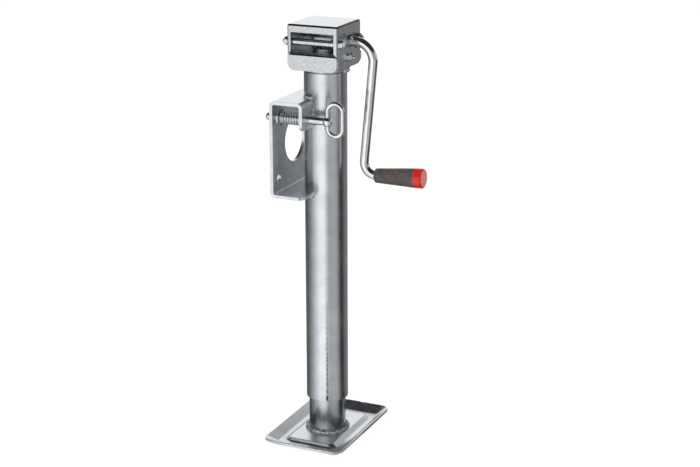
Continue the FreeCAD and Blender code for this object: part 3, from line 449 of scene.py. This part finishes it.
def sintered_bush():
    """Sintered bushes of the shaft: fine pored grey, satin with a trace of oil."""
    return metal(
        "sintered_bush", "#8f9092", "#b3b4b5", 0.24, 0.36,
        mottle_mm=2, grain_mm=0.4, bump=0.12,
    )


def grip_plastic():
    """Matt warm grey moulded sleeve, finely grained, with paler scuffs."""
    return moulded_plastic(
        "moulded_grip_plastic", "#433d3a", "#58514d", 0.46, 0.62,
        grain_mm=0.5, bump=0.25, scuff="#726a63",
    )


def cap_plastic():
    """Glossy red moulded end cap, with a painted pale highlight on its end face."""
    return moulded_plastic(
        "moulded_red_plastic", "#bd1611", "#d2231a", 0.13, 0.20,
        grain_mm=0.9, bump=0.03, end="#d58a80",
    )


def all_materials():
    """Every finish of the stand, by the name the pieces use."""
    return {
        # the outer tube's finish carries its weld seam and the painted shadow line under the head
        "seamed_and_shaded": zinc_drawn_tube("zinc_seamed_tube", seam_and_head_shadow_mark),
        "tube": zinc_drawn_tube("zinc_drawn_tube"),
        "sheet": zinc_pressed_sheet(),
        "plate": zinc_plate_steel(),
        "pressing": zinc_pressed_plate(),
        "bar": zinc_bright_bar(),
        "weld": zinc_weld_bead(),
        "fastener": zinc_fastener(),
        "steel": hardened_steel(),
        "bush": sintered_bush(),
        "grip": grip_plastic(),
        "cap": cap_plastic(),
    }


FINISH_OF_NODE = {
    "seamed_and_shaded": ["outer_tube"],
    "tube": ["inner_tube"],
    "sheet": ["head_cover", "head_base"],
    "plate": ["mount_bracket"],
    "pressing": ["foot_plate"],
    "bar": ["crank_rod", "plunger_pin", "pull_ring", "plunger_spring", "shaft_pin"],
    "weld": ["bracket_welds", "head_welds", "foot_weld"],
    "fastener": [
        "front_tie_bolt", "rear_tie_bolt", "tie_nuts", "tie_washers", "tie_sleeves", "side_studs",
        "side_nuts", "side_washers", "shaft_clip", "grip_retainer", "plunger_washer",
        "plunger_cross_pin", "gear_nut",
    ],
    "steel": [
        "upper_race", "lower_race", "thrust_balls", "lead_screw", "thrust_collar", "bevel_gear",
        "gear_key", "screw_stop", "travel_nut", "bevel_pinion", "pinion_pin",
    ],
    "bush": ["shaft_bush_right", "shaft_bush_left"],
    "grip": ["grip_sleeve"],
    "cap": ["grip_cap"],
}


def finish_nodes(materials):
    """Give each carried-over solid its finish."""
    for finish, nodes in FINISH_OF_NODE.items():
        for node in nodes:
            data = NODES[node].data
            data.materials.clear()
            data.materials.append(materials[finish])


# New pieces: weld beads, foot, head base, spring and threads, in place of the plain solids

def ringed_mesh(name, rings, material, closed=False):
    """Smooth object through rings of points; an open row of rings is capped at both ends."""
    sides = len(rings[0])
    verts = [point * MM for ring in rings for point in ring]
    faces = []
    for r in range(len(rings) - (0 if closed else 1)):
        here, ahead = r * sides, (r + 1) % len(rings) * sides
        for i in range(sides):
            j = (i + 1) % sides
            faces.append((here + i, here + j, ahead + j, ahead + i))
    if not closed:
        faces.append(tuple(reversed(range(sides))))
        faces.append(tuple(range(len(verts) - sides, len(verts))))
    mesh = bpy.data.meshes.new(name)
    mesh.from_pydata(verts, [], faces)
    shell = bmesh.new()
    shell.from_mesh(mesh)
    bmesh.ops.recalc_face_normals(shell, faces=shell.faces)
    shell.to_mesh(mesh)
    shell.free()
    mesh.shade_smooth()
    mesh.materials.append(material)
    piece = bpy.data.objects.new(name, mesh)
    bpy.context.scene.collection.objects.link(piece)
    return piece


def joined(name, pieces):
    """Several objects as one."""
    for piece in bpy.context.scene.objects:
        piece.select_set(piece in pieces)
    bpy.context.view_layer.objects.active = pieces[0]
    bpy.ops.object.join()
    pieces[0].name = name
    pieces[0].data.name = name
    return pieces[0]


def dressed(piece, body, slot, *nodes):
    """Let a new piece ride on its body and stand for its CAD nodes."""
    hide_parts(*nodes)
    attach(piece, body)


BEAD_SIDES = 20
BEAD_STEP = 0.45             # distance between rings of a bead, millimetres
BEAD_RIPPLE = 2.7            # length of one laid drop
BEAD_VALLEY = 0.84           # size between two drops, and how much a drop adds
BEAD_CREST = 0.20
BEAD_ROUNDNESS = 0.7         # below 1 the drops are broad and the valleys narrow
BEAD_END = 0.35              # size at the ends, and how fast the bead grows to its full size
BEAD_GROWTH = 5.0
LUMP_SIZE = 2.4              # size of the lumps, millimetres
LUMP_DEPTH = 0.34
FINE_LUMP = 2.3              # how much finer the second lumps are, and the pits
FINE_LUMP_DEPTH = 0.20
FINE_PIT = 1.7
PIT_START = 0.22
PIT_DEPTH = 1.3


def weld_bead(name, centre, length, radius, seed, material, closed=False, lumps=1.0):
    """Rippled bead of overlapping drops, lumpy and pitted, along centre(distance).

    centre gives a point and the two directions across the bead there.
    """
    count = max(8, round(length / BEAD_STEP))
    drops = max(1, round(length / BEAD_RIPPLE))
    rings = []
    for k in range(count if closed else count + 1):
        share = k / count
        point, outward, upward = centre(share * length)
        phase = share * drops % 1
        ripple = BEAD_VALLEY + BEAD_CREST * math.sin(math.pi * phase) ** BEAD_ROUNDNESS
        taper = 1.0 if closed else min(1.0, BEAD_END + BEAD_GROWTH * min(share, 1 - share))
        ring = []
        for i in range(BEAD_SIDES):
            turn = FULL_TURN * i / BEAD_SIDES
            across = outward * math.cos(turn) + upward * math.sin(turn)
            place = (point + across * radius) / LUMP_SIZE + Vector((seed, 0, 0))
            lump = noise.noise(place) * LUMP_DEPTH
            lump += noise.noise(place * FINE_LUMP) * FINE_LUMP_DEPTH
            pit = max(0.0, noise.noise(place * FINE_PIT + Vector((0, seed, 7))) - PIT_START)
            size = radius * taper * (ripple + lumps * (lump - PIT_DEPTH * pit))
            ring.append(point + across * size)
        rings.append(ring)
    return ringed_mesh(name, rings, material, closed)


def arc_centre(radius, height, start, end):
    """Centre line of a bead round the tube, from one angle to the other, at one height."""
    def centre(distance):
        turn = math.radians(start) + math.copysign(distance / radius, end - start)
        outward = Vector((math.cos(turn), math.sin(turn), 0))
        return outward * radius + Vector((0, 0, height)), outward, Vector((0, 0, 1))
    return centre


def upright_centre(x, y, low):
    """Centre line of a bead that runs straight up."""
    def centre(distance):
        return Vector((x, y, low + distance)), Vector((1, 0, 0)), Vector((0, 1, 0))
    return centre


def arc_length(radius, start, end):
    """Length of an arc between two angles in degrees."""
    return radius * math.radians(abs(end - start))


BRACKET_BEAD_R = 4.3
BRACKET_BEAD_LUMPS = 1.5
BRACKET_SEED = 9.1           # each bead's pattern starts this much further along the noise
BRACKET_BEAD_HEIGHTS = (475.0, 346.0)
BRACKET_BEAD_ARCS = ((98.0, 132.0), (228.0, 262.0))
LIP_BEAD_X = -4.0
LIP_BEAD_Y = 28.2
LIP_BEAD_LOW = 440.5
LIP_BEAD_LENGTH = 30.5
LIP_BEAD_R = 3.4
HEAD_BEAD_R = 3.0
HEAD_SEED = 5.3
HEAD_BEAD_HEIGHT = 532.0
HEAD_BEAD_ARCS = ((55.0, 125.0), (235.0, 305.0))
TAB_BEAD_R = 3.3
TAB_BEAD_OUT = 5.8           # how far its centre lies outside the tube
TAB_BEAD_HEIGHT = 512.4
TAB_BEAD_ARCS = ((-24.0, -4.0), (184.0, 204.0))
FOOT_BEAD_R = 3.3
FOOT_BEAD_RING_R = 27.0
FOOT_BEAD_HEIGHT = 7.8
FOOT_BEAD_LUMPS = 0.55
FOOT_SEED = 3.7


def make_welds(material):
    """All beads of the stand and of the drop leg."""
    beads = []
    for height in BRACKET_BEAD_HEIGHTS:
        for start, end in BRACKET_BEAD_ARCS:
            beads.append(weld_bead(
                "bead", arc_centre(TUBE_R, height, start, end), arc_length(TUBE_R, start, end),
                BRACKET_BEAD_R, len(beads) * BRACKET_SEED, material, lumps=BRACKET_BEAD_LUMPS,
            ))
    for side in (1, -1):
        beads.append(weld_bead(
            "bead", upright_centre(LIP_BEAD_X, side * LIP_BEAD_Y, LIP_BEAD_LOW), LIP_BEAD_LENGTH,
            LIP_BEAD_R, len(beads) * BRACKET_SEED, material, lumps=BRACKET_BEAD_LUMPS,
        ))
    dressed(joined("bracket_weld_beads", beads), "stand", "weld", "bracket_welds")
    beads = []
    for radius, out, height, arcs in (
        (HEAD_BEAD_R, TUBE_R, HEAD_BEAD_HEIGHT, HEAD_BEAD_ARCS),
        (TAB_BEAD_R, TUBE_R + TAB_BEAD_OUT, TAB_BEAD_HEIGHT, TAB_BEAD_ARCS),
    ):
        for start, end in arcs:
            beads.append(weld_bead(
                "bead", arc_centre(out, height, start, end), arc_length(out, start, end),
                radius, len(beads) * HEAD_SEED, material,
            ))
    dressed(joined("head_weld_beads", beads), "stand", "weld", "head_welds")
    ring = weld_bead(
        "foot_weld_bead", arc_centre(FOOT_BEAD_RING_R, FOOT_BEAD_HEIGHT, 0, 360),
        arc_length(FOOT_BEAD_RING_R, 0, 360), FOOT_BEAD_R, FOOT_SEED, material,
        closed=True, lumps=FOOT_BEAD_LUMPS,
    )
    dressed(ring, "leg", "weld", "foot_weld")


# Foot: rings of (half length along X, half along Y, corner radius, height, bend) through the
# pressed sheet, from its underside round the rim, which is cut upright, to the panel.
FOOT_RINGS = [
    (30.0, 54.5, 5.0, 4.0, 1.0),
    (36.0, 56.5, 6.0, 0.0, 1.0),
    (46.8, 72.0, 8.0, 0.0, 3.0),
    (57.9, 86.9, 14.0, 8.7, 0.5),
    (57.9, 86.9, 14.0, 12.1, 0.9),
    (56.4, 85.2, 12.4, 12.4, 0.6),
    (45.6, 70.9, 7.0, 3.0, 2.2),
    (38.0, 58.8, 7.0, 3.0, 1.6),
    (32.0, 56.8, 6.0, 7.0, 0.9),
    (29.0, 54.0, 5.0, 7.0, 0.5),
    (20.0, 44.0, 4.0, 7.0, 0.5),
]
FOOT_TOP = 12.4
FOOT_BEND_STEPS = 5
FOOT_CORNER_STEPS = 9
FOOT_EDGE_STEPS = 60
LONGEST_BEND = 0.45          # share of the distance to the next ring that a bend may take
SHEAR_RIPPLE = 0.40          # height of the shear marks on the front and rear rims
SHEAR_PITCH = 4.4
SHEAR_WAVE = 0.7             # shares of the even wave and of the uneven part in the marks
SHEAR_UNEVEN = 1.2
UNEVEN_ALONG = 3.1           # size of the uneven part along the rim and across it
UNEVEN_ACROSS = 9.0
UNEVEN_SEED = 1.7
RIM_DROP = 0.5               # the marked rim lies lower by this, so that its peaks keep the height
RIM_HEIGHT = 10.0            # the marks fade in from here up


def rounded_rectangle(half_x, half_y, corner, height):
    """Points of a rounded rectangle about the tubes' axis, the same count for every size."""
    points = []
    quarters = ((1, 1), (-1, 1), (-1, -1), (1, -1))
    for k, (sx, sy) in enumerate(quarters):
        centre = Vector((sx * (half_x - corner), sy * (half_y - corner), height))
        for i in range(FOOT_CORNER_STEPS + 1):
            turn = math.pi / 2 * (k + i / FOOT_CORNER_STEPS)
            points.append(centre + Vector((math.cos(turn), math.sin(turn), 0)) * corner)
        nx, ny = quarters[(k + 1) % 4]
        last = points[-1]
        turn = math.pi / 2 * (k + 1)
        next_centre = Vector((nx * (half_x - corner), ny * (half_y - corner), height))
        following = next_centre + Vector((math.cos(turn), math.sin(turn), 0)) * corner
        for i in range(1, FOOT_EDGE_STEPS):
            points.append(last.lerp(following, i / FOOT_EDGE_STEPS))
    return points


def bent_rings(rings):
    """Profile rings with each bend drawn as a short curve."""
    smooth = [rings[0][:4]]
    for before, here, after in zip(rings, rings[1:], rings[2:]):
        bend = here[4]
        ends = []
        for other in (before, after):
            away = math.hypot(other[0] - here[0], other[3] - here[3])
            share = min(LONGEST_BEND, bend / away)
            ends.append([h + (o - h) * share for h, o in zip(here[:4], other[:4])])
        for k in range(FOOT_BEND_STEPS + 1):
            t = k / FOOT_BEND_STEPS
            smooth.append([
                a * (1 - t) ** 2 + 2 * h * t * (1 - t) + b * t ** 2
                for a, h, b in zip(ends[0], here[:4], ends[1])
            ])
    smooth.append(rings[-1][:4])
    return smooth


def make_foot(material):
    """Pressed foot with round bends, an upright cut rim and faint shear marks along it."""
    rings = []
    for half_x, half_y, corner, height in bent_rings(FOOT_RINGS):
        ring = rounded_rectangle(half_x, half_y, corner, height)
        for point in ring:
            share = max(0.0, height - RIM_HEIGHT) / (FOOT_TOP - RIM_HEIGHT)
            along = max(0.0, abs(point.y) - half_y + corner) / corner
            wave = SHEAR_WAVE * math.sin(FULL_TURN * point.x / SHEAR_PITCH)
            uneven = SHEAR_UNEVEN * noise.noise(
                Vector((point.x / UNEVEN_ALONG, point.y / UNEVEN_ACROSS, UNEVEN_SEED))
            )
            point.z += SHEAR_RIPPLE * share * along * (wave + uneven) - RIM_DROP * share
        rings.append(ring)
    foot = ringed_mesh("pressed_foot", rings, material)
    dressed(foot, "leg", "zinc_plate", "foot_plate")


FLANGE_BEND_R = 5.0          # outer radius of the head base's front bend
FLANGE_BEND_TIGHTER = 2.4    # and by how much the pressed one is tighter
BEND_NEAR = 0.00001          # tolerance, in metres, for points on the bend's first and last line


def make_head_base(material):
    """Head base whose front flange turns down in a tighter bend than the plain solid's."""
    plain = NODES["head_base"]
    low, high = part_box("head_base")
    centre_y = low.y + FLANGE_BEND_R * MM
    centre_z = high.z - FLANGE_BEND_R * MM
    shift = FLANGE_BEND_TIGHTER * MM
    mesh = plain.data.copy()
    to_frame = plain.matrix_world
    to_mesh = to_frame.inverted()
    for vertex in mesh.vertices:
        point = to_frame @ vertex.co
        forward, up = centre_y - point.y, point.z - centre_z
        if forward < -BEND_NEAR or up < -BEND_NEAR:
            continue
        reach = math.hypot(forward, up)
        share = max(0.0, reach - shift) / reach
        point.y = centre_y - shift - forward * share
        point.z = centre_z + shift + up * share
        vertex.co = to_mesh @ point
    mesh.materials.clear()
    mesh.materials.append(material)
    base = bpy.data.objects.new("folded_head_base", mesh)
    base.matrix_world = to_frame
    bpy.context.scene.collection.objects.link(base)
    dressed(base, "stand", "zinc_plate", "head_base")


SPRING_WIRE = 2.0
SPRING_TURNS = 9.0
SPRING_CLOSED = 1.0          # turns that lie close together at each end
SPRING_CLOSED_PITCH = 2.1
SPRING_STEPS = 40            # rings in a turn
WIRE_SIDES = 12


def make_spring(material):
    """Compression spring with closed ends."""
    low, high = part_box("plunger_spring")
    low, high = low / MM, high / MM
    wire_r = SPRING_WIRE / 2
    middle = (low + high) / 2
    coil_r = (high.y - low.y) / 2 - wire_r
    start, end = low.x + wire_r, high.x - wire_r
    open_turns = SPRING_TURNS - 2 * SPRING_CLOSED
    open_pitch = (end - start - 2 * SPRING_CLOSED * SPRING_CLOSED_PITCH) / open_turns
    rings = []
    for k in range(round(SPRING_TURNS * SPRING_STEPS) + 1):
        turns = k / SPRING_STEPS
        closed = min(turns, SPRING_CLOSED) + max(0.0, turns - SPRING_CLOSED - open_turns)
        along = start + closed * SPRING_CLOSED_PITCH + (turns - closed) * open_pitch
        outward = Vector((0, math.cos(turns * FULL_TURN), math.sin(turns * FULL_TURN)))
        centre = Vector((along, middle.y, middle.z)) + outward * coil_r
        ring = []
        for i in range(WIRE_SIDES):
            turn = FULL_TURN * i / WIRE_SIDES
            across = outward * math.cos(turn) + Vector((1, 0, 0)) * math.sin(turn)
            ring.append(centre + across * wire_r)
        rings.append(ring)
    spring = ringed_mesh("coil_spring", rings, material)
    dressed(spring, "stand", "bright_steel", "plunger_spring")
    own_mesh(spring)


THREAD_PITCH = 1.0
THREAD_DEPTH = 0.42
THREAD_LENGTH = 11.0
THREAD_SIDES = 28
THREAD_STEPS = 6             # rings in one pitch
BOLT_R = 3.0
BOLT_HEAD = 4.0
BOLT_NEAR = 0.05             # tolerance for the plane between hexagon and shank


def threaded_rod(name, tip, root, material):
    """Round rod from root to tip along X, with a thread at the tip's end."""
    toward = math.copysign(1, tip.x - root.x)
    length = abs(tip.x - root.x)
    count = round(THREAD_LENGTH / THREAD_PITCH * THREAD_STEPS)
    places = [0.0] + [length - THREAD_LENGTH * (1 - k / count) for k in range(count + 1)]
    rings = []
    for along in places:
        chamfer = max(0.0, along - length + THREAD_DEPTH)
        fade = min(1.0, max(0.0, (along - length + THREAD_LENGTH) / THREAD_PITCH))
        ring = []
        for i in range(THREAD_SIDES):
            share = i / THREAD_SIDES
            phase = (along / THREAD_PITCH + share) % 1
            groove = THREAD_DEPTH * fade * (1 - abs(2 * phase - 1))
            radius = BOLT_R - max(groove, chamfer)
            turn = FULL_TURN * share
            offset = Vector((0, math.cos(turn), math.sin(turn))) * radius
            ring.append(Vector((root.x + toward * along, root.y, root.z)) + offset)
        rings.append(ring)
    rod = ringed_mesh(name, rings, material)
    rod.data.shade_flat()
    return rod


def side_extent(node, side):
    """Lowest and highest corner of the part of a CAD node on one side of the stand, in mm."""
    points = [v.co for v in NODES[node].data.vertices if v.co.x * side > 0]
    low = Vector([min(p[i] for p in points) for i in range(3)])
    high = Vector([max(p[i] for p in points) for i in range(3)])
    return low / MM, high / MM


def bolt_head(node, side, inner, material):
    """Copy of a bolt's hexagon, cut from the CAD solid's mesh."""
    mesh = NODES[node].data.copy()
    shell = bmesh.new()
    shell.from_mesh(mesh)
    shank = [
        face for face in shell.faces
        if min(v.co.x * side for v in face.verts) < (inner - BOLT_NEAR) * MM
    ]
    bmesh.ops.delete(shell, geom=shank, context="FACES")
    shell.to_mesh(mesh)
    shell.free()
    mesh.materials.clear()
    mesh.materials.append(material)
    head = bpy.data.objects.new("bolt_head", mesh)
    bpy.context.scene.collection.objects.link(head)
    return head


def make_threads(material):
    """Threaded ends for the two tie bolts and the two studs."""
    for node, side in (("front_tie_bolt", 1), ("rear_tie_bolt", -1)):
        low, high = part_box(node)
        low, high = low / MM, high / MM
        y, z = (low.y + high.y) / 2, (low.z + high.z) / 2
        head_x, tip_x = (high.x, low.x) if side > 0 else (low.x, high.x)
        inner = abs(head_x) - BOLT_HEAD
        head = bolt_head(node, side, inner, material)
        rod = threaded_rod("shank", Vector((tip_x, y, z)), Vector((side * inner, y, z)), material)
        dressed(joined(node + "_threaded", [head, rod]), "stand", "zinc_plate", node)
    rods = []
    for side in (1, -1):
        low, high = side_extent("side_studs", side)
        y, z = (low.y + high.y) / 2, (low.z + high.z) / 2
        tip_x, root_x = (high.x, low.x) if side > 0 else (low.x, high.x)
        rods.append(threaded_rod("stud", Vector((tip_x, y, z)), Vector((root_x, y, z)), material))
    dressed(joined("threaded_studs", rods), "stand", "zinc_plate", "side_studs")


# Studio: floor, light tent seen only in reflections, and lamps

FLOOR_HALF = 12.0
FLOOR_GLOW = 1.20            # strength of the glow that keeps the floor white to the eye
FLOOR_GLOW_SHARE = 0.72      # the rest of what is seen is the paper, with its shadow
SURROUND_LEVEL = 0.62
SURROUND_SEEN = 1.05
TENT_SIDES = 96
TENT_RADIUS = 2.4
TENT_HEIGHT = 2.5
TENT_WALL_START = 0.05       # height where the wall stands up from the floor
TENT_FOOT_RADIUS = 0.02
TENT_FOOT_HEIGHT = 0.0015
TENT_FOOT_SPREAD = 0.95      # shares of the radius where the foot ends and the roof closes
TENT_ROOF_HOLE = 0.01
TENT_NEAR = (0.07, 0.17)     # distances over which the dim middle of the floor brightens
TENT_NEAR_LEVEL = 0.55
TENT_MIDDLE = (0.38, 0.60)   # heights between which the low bands give way to the middle ones
TENT_UPPER = (1.50, 1.66)    # the middle bands to the upper ones
TENT_ROOF = (1.95, 2.15)     # and the upper bands to the roof
TENT_ROOF_LEVEL = 0.04
CAMERA_AZIMUTH = math.atan2(CAMERA_PLACE.y - CAMERA_TARGET.y, CAMERA_PLACE.x - CAMERA_TARGET.x)

# Soft square lamps: name, place, size and power
LAMP_AIM = Vector((0, 0, 0.3))
LAMPS = [
    ("key_lamp", Vector((-0.9, -1.5, 2.0)), 1.4, 26),
    ("fill_lamp", Vector((1.8, -0.6, 1.5)), 1.2, 10),
]

# Brightness round the tent: degrees to the right of the camera as seen from the stand.
# Upright faces reflect the low bands, level faces the middle ones, bends those above.
LOW_BANDS = [
    (-180, 0.90), (-166, 0.85), (-156, 0.18), (-118, 0.12), (-100, 0.30), (-84, 0.46),
    (-70, 0.76), (-56, 1.00), (-38, 1.42), (-14, 1.50), (-2, 1.10), (8, 0.62), (18, 0.56),
    (34, 0.64), (54, 0.60), (64, 0.40), (76, 0.06), (96, 0.04), (108, 0.22), (150, 0.30),
    (162, 0.85), (180, 0.90),
]
MIDDLE_BANDS = [
    (-180, 1.42), (-148, 1.42), (-136, 0.60), (-100, 0.20), (-76, 0.50), (-56, 1.00),
    (-30, 1.40), (-6, 1.30), (4, 0.60), (30, 0.45), (80, 0.30), (96, 1.05), (114, 0.95),
    (122, 0.12), (134, 0.12), (137, 0.95), (139, 0.98), (145, 1.42), (180, 1.42),
]
UPPER_BANDS = [
    (-180, 1.42), (-174, 1.20), (-166, 0.06), (0, 0.04), (166, 0.06), (174, 1.20), (180, 1.42),
]


def make_floor():
    """Plain pale floor that stays white to the camera and in reflections, and keeps the shadow."""
    material, tree, output = new_material("floor_paper")
    path = add_node(tree, "ShaderNodeLightPath").outputs
    seen = path["Is Camera Ray"]
    for name in ("Is Glossy Ray", "Is Transmission Ray"):
        seen = add_node(
            tree, "ShaderNodeMath", {"operation": "MAXIMUM"}, links={0: seen, 1: path[name]}
        ).outputs["Value"]
    share = add_node(
        tree, "ShaderNodeMath", {"operation": "MULTIPLY"}, {1: FLOOR_GLOW_SHARE}, {0: seen}
    ).outputs["Value"]
    paper = add_node(
        tree, "ShaderNodeBsdfDiffuse", values={"Color": linear("#efefef"), "Roughness": 1.0}
    ).outputs["BSDF"]
    glow = add_node(
        tree, "ShaderNodeEmission", values={"Color": linear("#ffffff"), "Strength": FLOOR_GLOW}
    ).outputs["Emission"]
    mixed = add_node(tree, "ShaderNodeMixShader", links={0: share, 1: paper, 2: glow})
    tree.links.new(mixed.outputs["Shader"], output.inputs["Surface"])
    mesh = bpy.data.meshes.new("floor")
    corners = [(x * FLOOR_HALF, y * FLOOR_HALF, 0) for x, y in ((-1, -1), (1, -1), (1, 1), (-1, 1))]
    mesh.from_pydata(corners, [], [(0, 1, 2, 3)])
    mesh.materials.append(material)
    floor = bpy.data.objects.new("floor", mesh)
    bpy.context.scene.collection.objects.link(floor)


def tent_material():
    """Soft grey bands round the tent, set by direction and height alone."""
    material, tree, output = new_material("light_tent_cloth")
    place = add_node(tree, "ShaderNodeTexCoord").outputs["Object"]
    parts = add_node(tree, "ShaderNodeSeparateXYZ", links={"Vector": place}).outputs
    angle = add_node(
        tree, "ShaderNodeMath", {"operation": "ARCTAN2"}, links={0: parts["Y"], 1: parts["X"]}
    ).outputs["Value"]
    share = add_node(
        tree, "ShaderNodeMapRange",
        values={"From Min": -math.pi, "From Max": math.pi, "To Min": 0.0, "To Max": 1.0},
        links={"Value": angle},
    ).outputs["Result"]
    brightest = max(level for _, level in LOW_BANDS + MIDDLE_BANDS + UPPER_BANDS)
    low, middle, upper = [
        ramp(tree, share, [
            ((degrees + 180) / 360, grey(level / brightest)) for degrees, level in levels
        ])
        for levels in (LOW_BANDS, MIDDLE_BANDS, UPPER_BANDS)
    ]
    floor_place = add_node(
        tree, "ShaderNodeCombineXYZ", links={"X": parts["X"], "Y": parts["Y"]}
    ).outputs["Vector"]
    distance = add_node(
        tree, "ShaderNodeVectorMath", {"operation": "LENGTH"}, links={0: floor_place}
    ).outputs["Value"]
    near = add_node(
        tree, "ShaderNodeMapRange",
        values={
            "From Min": TENT_NEAR[0], "From Max": TENT_NEAR[1],
            "To Min": TENT_NEAR_LEVEL, "To Max": 1.0,
        },
        links={"Value": distance},
    ).outputs["Result"]
    colour = add_node(
        tree, "ShaderNodeVectorMath", {"operation": "MULTIPLY"}, links={0: low, 1: near}
    ).outputs["Vector"]
    roof = add_node(tree, "ShaderNodeRGB").outputs["Color"]
    roof.default_value = grey(TENT_ROOF_LEVEL / brightest)
    for (start, end), above in zip((TENT_MIDDLE, TENT_UPPER, TENT_ROOF), (middle, upper, roof)):
        height = add_node(
            tree, "ShaderNodeMapRange", values={"From Min": start, "From Max": end},
            links={"Value": parts["Z"]},
        ).outputs["Result"]
        colour = add_node(
            tree, "ShaderNodeMix", {"data_type": "RGBA"}, links={0: height, 6: colour, 7: above}
        ).outputs[2]
    glow = add_node(
        tree, "ShaderNodeEmission", values={"Strength": brightest}, links={"Color": colour}
    )
    tree.links.new(glow.outputs["Emission"], output.inputs["Surface"])
    return material


def make_tent():
    """Light tent round the stand: a bowl with a roof that only reflections see."""
    rings = [
        (TENT_FOOT_RADIUS, TENT_FOOT_HEIGHT),
        (TENT_RADIUS * TENT_FOOT_SPREAD, TENT_FOOT_HEIGHT * 2),
        (TENT_RADIUS, TENT_WALL_START),
        (TENT_RADIUS, TENT_HEIGHT),
        (TENT_RADIUS * TENT_ROOF_HOLE, TENT_HEIGHT),
    ]
    verts = []
    for radius, height in rings:
        for i in range(TENT_SIDES):
            turn = FULL_TURN * i / TENT_SIDES
            verts.append((radius * math.cos(turn), radius * math.sin(turn), height))
    faces = []
    for r in range(len(rings) - 1):
        here, above = r * TENT_SIDES, (r + 1) * TENT_SIDES
        for i in range(TENT_SIDES):
            j = (i + 1) % TENT_SIDES
            faces.append((here + i, here + j, above + j, above + i))
    mesh = bpy.data.meshes.new("light_tent")
    mesh.from_pydata(verts, [], faces)
    mesh.materials.append(tent_material())
    tent = bpy.data.objects.new("light_tent", mesh)
    tent.rotation_euler = (0, 0, CAMERA_AZIMUTH)
    bpy.context.scene.collection.objects.link(tent)
    tent.visible_camera = False
    tent.visible_diffuse = False
    tent.visible_shadow = False
    tent.visible_transmission = False
    tent.visible_volume_scatter = False


def area_lamp(name, place, size, power):
    """Soft square lamp aimed at the middle of the stand, not seen in reflections."""
    data = bpy.data.lights.new(name, "AREA")
    data.shape = "SQUARE"
    data.size = size
    data.energy = power
    lamp = bpy.data.objects.new(name, data)
    lamp.location = place
    lamp.rotation_euler = (LAMP_AIM - place).to_track_quat("-Z", "Y").to_euler()
    lamp.visible_glossy = False
    bpy.context.scene.collection.objects.link(lamp)


def make_studio():
    """Floor, tent, an even surround that the camera sees as white, and two soft lamps."""
    world = bpy.data.worlds.new("surround")
    world.use_nodes = True
    tree = world.node_tree
    seen = add_node(tree, "ShaderNodeLightPath").outputs["Is Camera Ray"]
    level = add_node(
        tree, "ShaderNodeMapRange",
        values={"To Min": SURROUND_LEVEL, "To Max": SURROUND_SEEN}, links={"Value": seen},
    ).outputs["Result"]
    background = tree.nodes["Background"].inputs
    background["Color"].default_value = linear("#ffffff")
    tree.links.new(level, background["Strength"])
    bpy.context.scene.world = world
    make_floor()
    make_tent()
    for name, place, size, power in LAMPS:
        area_lamp(name, place, size, power)


make_camera()
bpy.context.scene.view_settings.view_transform = "Standard"
finishes = all_materials()
finish_nodes(finishes)
make_welds(finishes["weld"])
make_foot(finishes["pressing"])
make_head_base(finishes["sheet"])
make_spring(finishes["bar"])
make_threads(finishes["fastener"])
make_studio()
